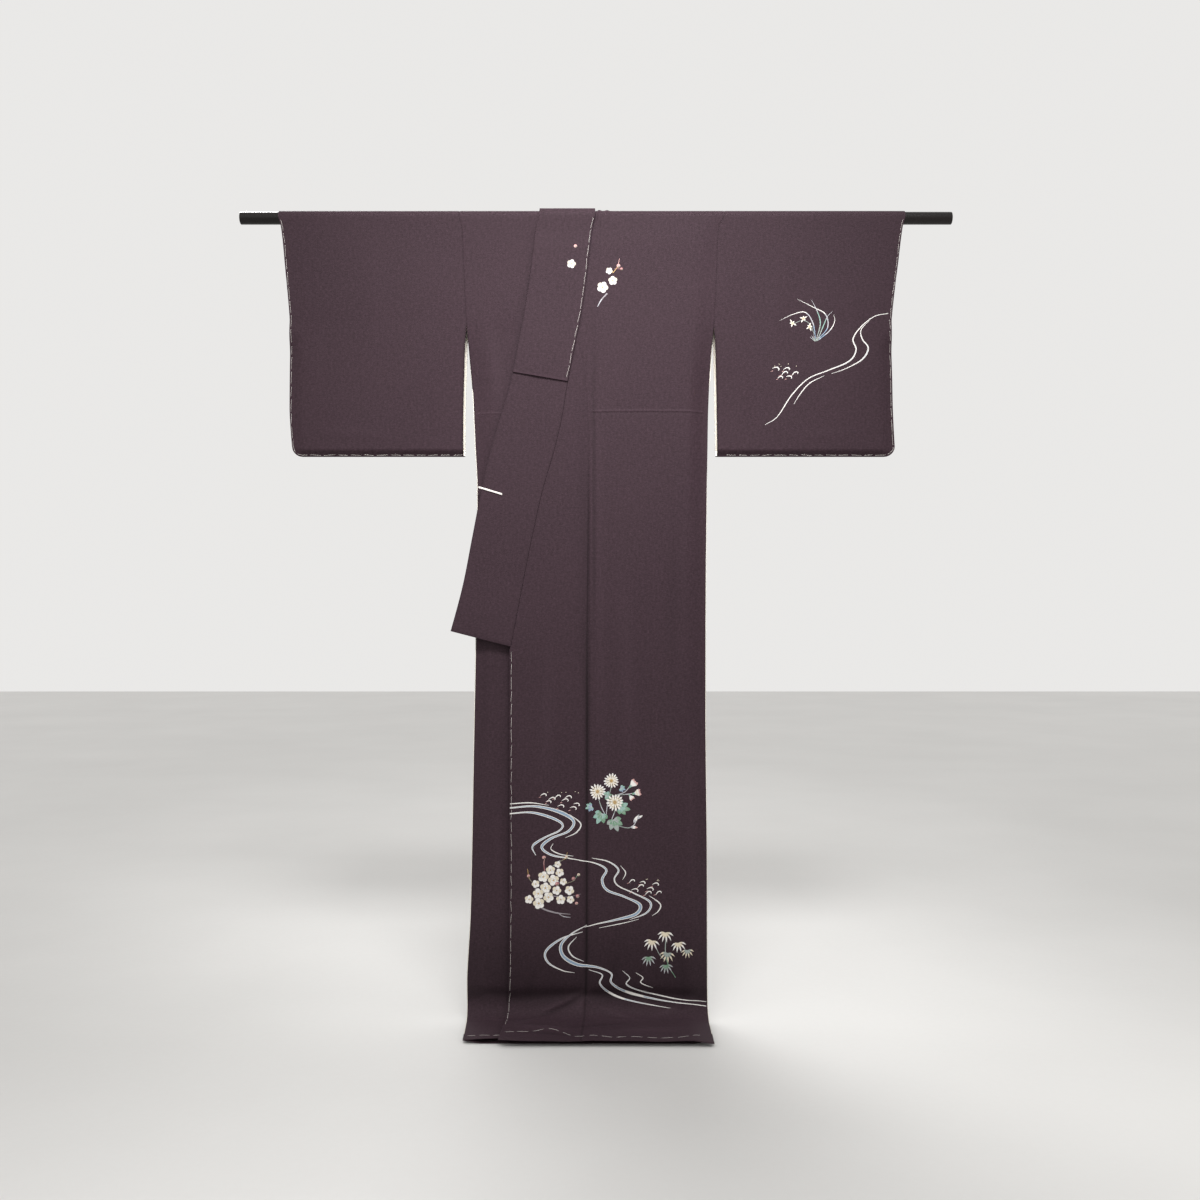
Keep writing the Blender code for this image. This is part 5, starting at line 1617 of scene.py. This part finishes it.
def make_pattern():
    """The dyed pattern: water, foam, plum, chrysanthemum, bamboo and orchid."""
    body = Pattern("pattern_front", lie_on_front)
    for ribbon in FRONT_WATER:
        body.ribbon(*ribbon)
    foam(body.at(-68, 1147), 72, 3)
    foam(body.at(98, 1317), 58, 4)
    plum_bough(body.at(-90, 1312))
    chrysanthemums(body.at(22, 1106))
    bamboo_clump(body.at(134, 1436))
    body.at(0, 0)
    body.stroke([(22, 152), (11, 164), (3, 178)], (2.8, 2.2, 1.0), ("twig", "pearl"), 1)
    body.stroke([(33, 112), (42, 100), (46, 84)], (1.3, 0.9), ("gold", "pink"), 1)
    body.stroke([(36, 104), (50, 104)], (1.0, 0.7), ("rose",), 1)
    for blossom in ((13, 140, 11.0, 12, 2), (33, 127, 8.8, 40, 3), (26, 108, 6.6, 5, 4)):
        body.blossom(*blossom)
    body.bud(44, 98, 3.6, "pink", 5)
    body.bud(50, 104, 2.8, "rose", 5)

    cover = Pattern("pattern_collar", lie_on_cover)
    cover.blossom(-48, 95, 8.6, 20)
    cover.bud(-40, 60, 3.2, "pink")

    sleeve = Pattern("pattern_sleeve", lie_on_sleeve("left", 1))
    orchid(sleeve.at(434, 242))
    foam(sleeve.at(372, 308), 43, 5)
    sleeve.at(0, 0)
    for ribbon in SLEEVE_WATER:
        sleeve.ribbon(*ribbon)
    return {"body_left": body.finish(), "collar_cover": cover.finish(), "sleeve_left": sleeve.finish()}


# ---------------------------------------------------------------- stage, lights and camera
FLOOR_DEPTH = REST_DEPTH + 6.7 * MM
FLOOR_HALF = 9.0
CAMERA_PLACE = (0.0079, -2.5, -0.752)
CAMERA_LENS = 38.07
AIR_COLOUR = (1.0, 0.99, 0.975, 1)
AIR_STRENGTH = 0.82
# place and aim in metres, the width and height, the power, and how wide it fans out in degrees
LIGHTS = table(
    "name place aim size watts fan",
    ("key", (0.05, -1.3, 1.0), (0, 0, -0.3), (1.1, 0.5), 7.7, 50),
    ("fill", (-2.4, -2.4, 0.8), (0, 0, -0.2), (1.6, 1.6), 3, 80),
    ("behind", (-0.6, 1.4, 1.0), (0, 0, -0.2), (2.6, 0.5), 11, 54),
)


def make_stage():
    """The floor that the hem rests on, soft lights all round, and the camera."""
    corners = [(x * FLOOR_HALF, y * FLOOR_HALF) for x, y in ((-1, -1), (1, -1), (1, 1), (-1, 1))]
    points = [(x, y, -FLOOR_DEPTH) for x, y in corners]
    mesh = mesh_from("floor", points, [(0, 1, 2, 3)], corners)
    mesh.materials.append(floor_material())
    floor = link(bpy.data.objects.new("floor", mesh))

    for row in LIGHTS:
        data = bpy.data.lights.new(row["name"], "AREA")
        data.shape = "RECTANGLE"
        data.size, data.size_y = row["size"]
        data.energy = row["watts"]
        data.spread = math.radians(row["fan"])
        light = link(bpy.data.objects.new(row["name"], data))
        light.location = row["place"]
        aim = Vector(row["aim"]) - Vector(row["place"])
        light.rotation_euler = aim.to_track_quat("-Z", "Y").to_euler()
        light.visible_camera = False

    world = bpy.data.worlds.new("studio")
    world.use_nodes = True
    background = world.node_tree.nodes["Background"]
    background.inputs["Color"].default_value = AIR_COLOUR
    background.inputs["Strength"].default_value = AIR_STRENGTH
    bpy.context.scene.world = world
    bpy.context.scene.view_settings.view_transform = "Standard"

    data = bpy.data.cameras.new("camera")
    data.sensor_width = 36
    data.lens = CAMERA_LENS
    data.clip_end = 60
    camera = link(bpy.data.objects.new("camera", data))
    camera.location = CAMERA_PLACE
    camera.rotation_euler = (math.pi / 2, 0, 0)
    bpy.context.scene.camera = camera


# ---------------------------------------------------------------- everything together
def main():
    make_stage()
    cloth = {**make_panels(), **make_sleeves(), **make_collars()}
    sewing = make_basting()
    pattern = make_pattern()
    tape = make_tie()

    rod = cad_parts["rod"]
    rod.data.materials.clear()
    rod.data.materials.append(LACQUER)

    for name, piece in cloth.items():
        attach(piece, "root")
    for piece in (*sewing.values(), tape):
        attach(piece, "root")
    for piece in pattern.values():
        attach(piece, "root")

    on_piece = {name: [] for name in cloth}
    for made in (sewing, pattern):
        for name, piece in made.items():
            on_piece[name].append(piece)
    on_piece["collar_left"].append(tape)
    on_piece["overlap_left"].append(pattern["body_left"])


main()
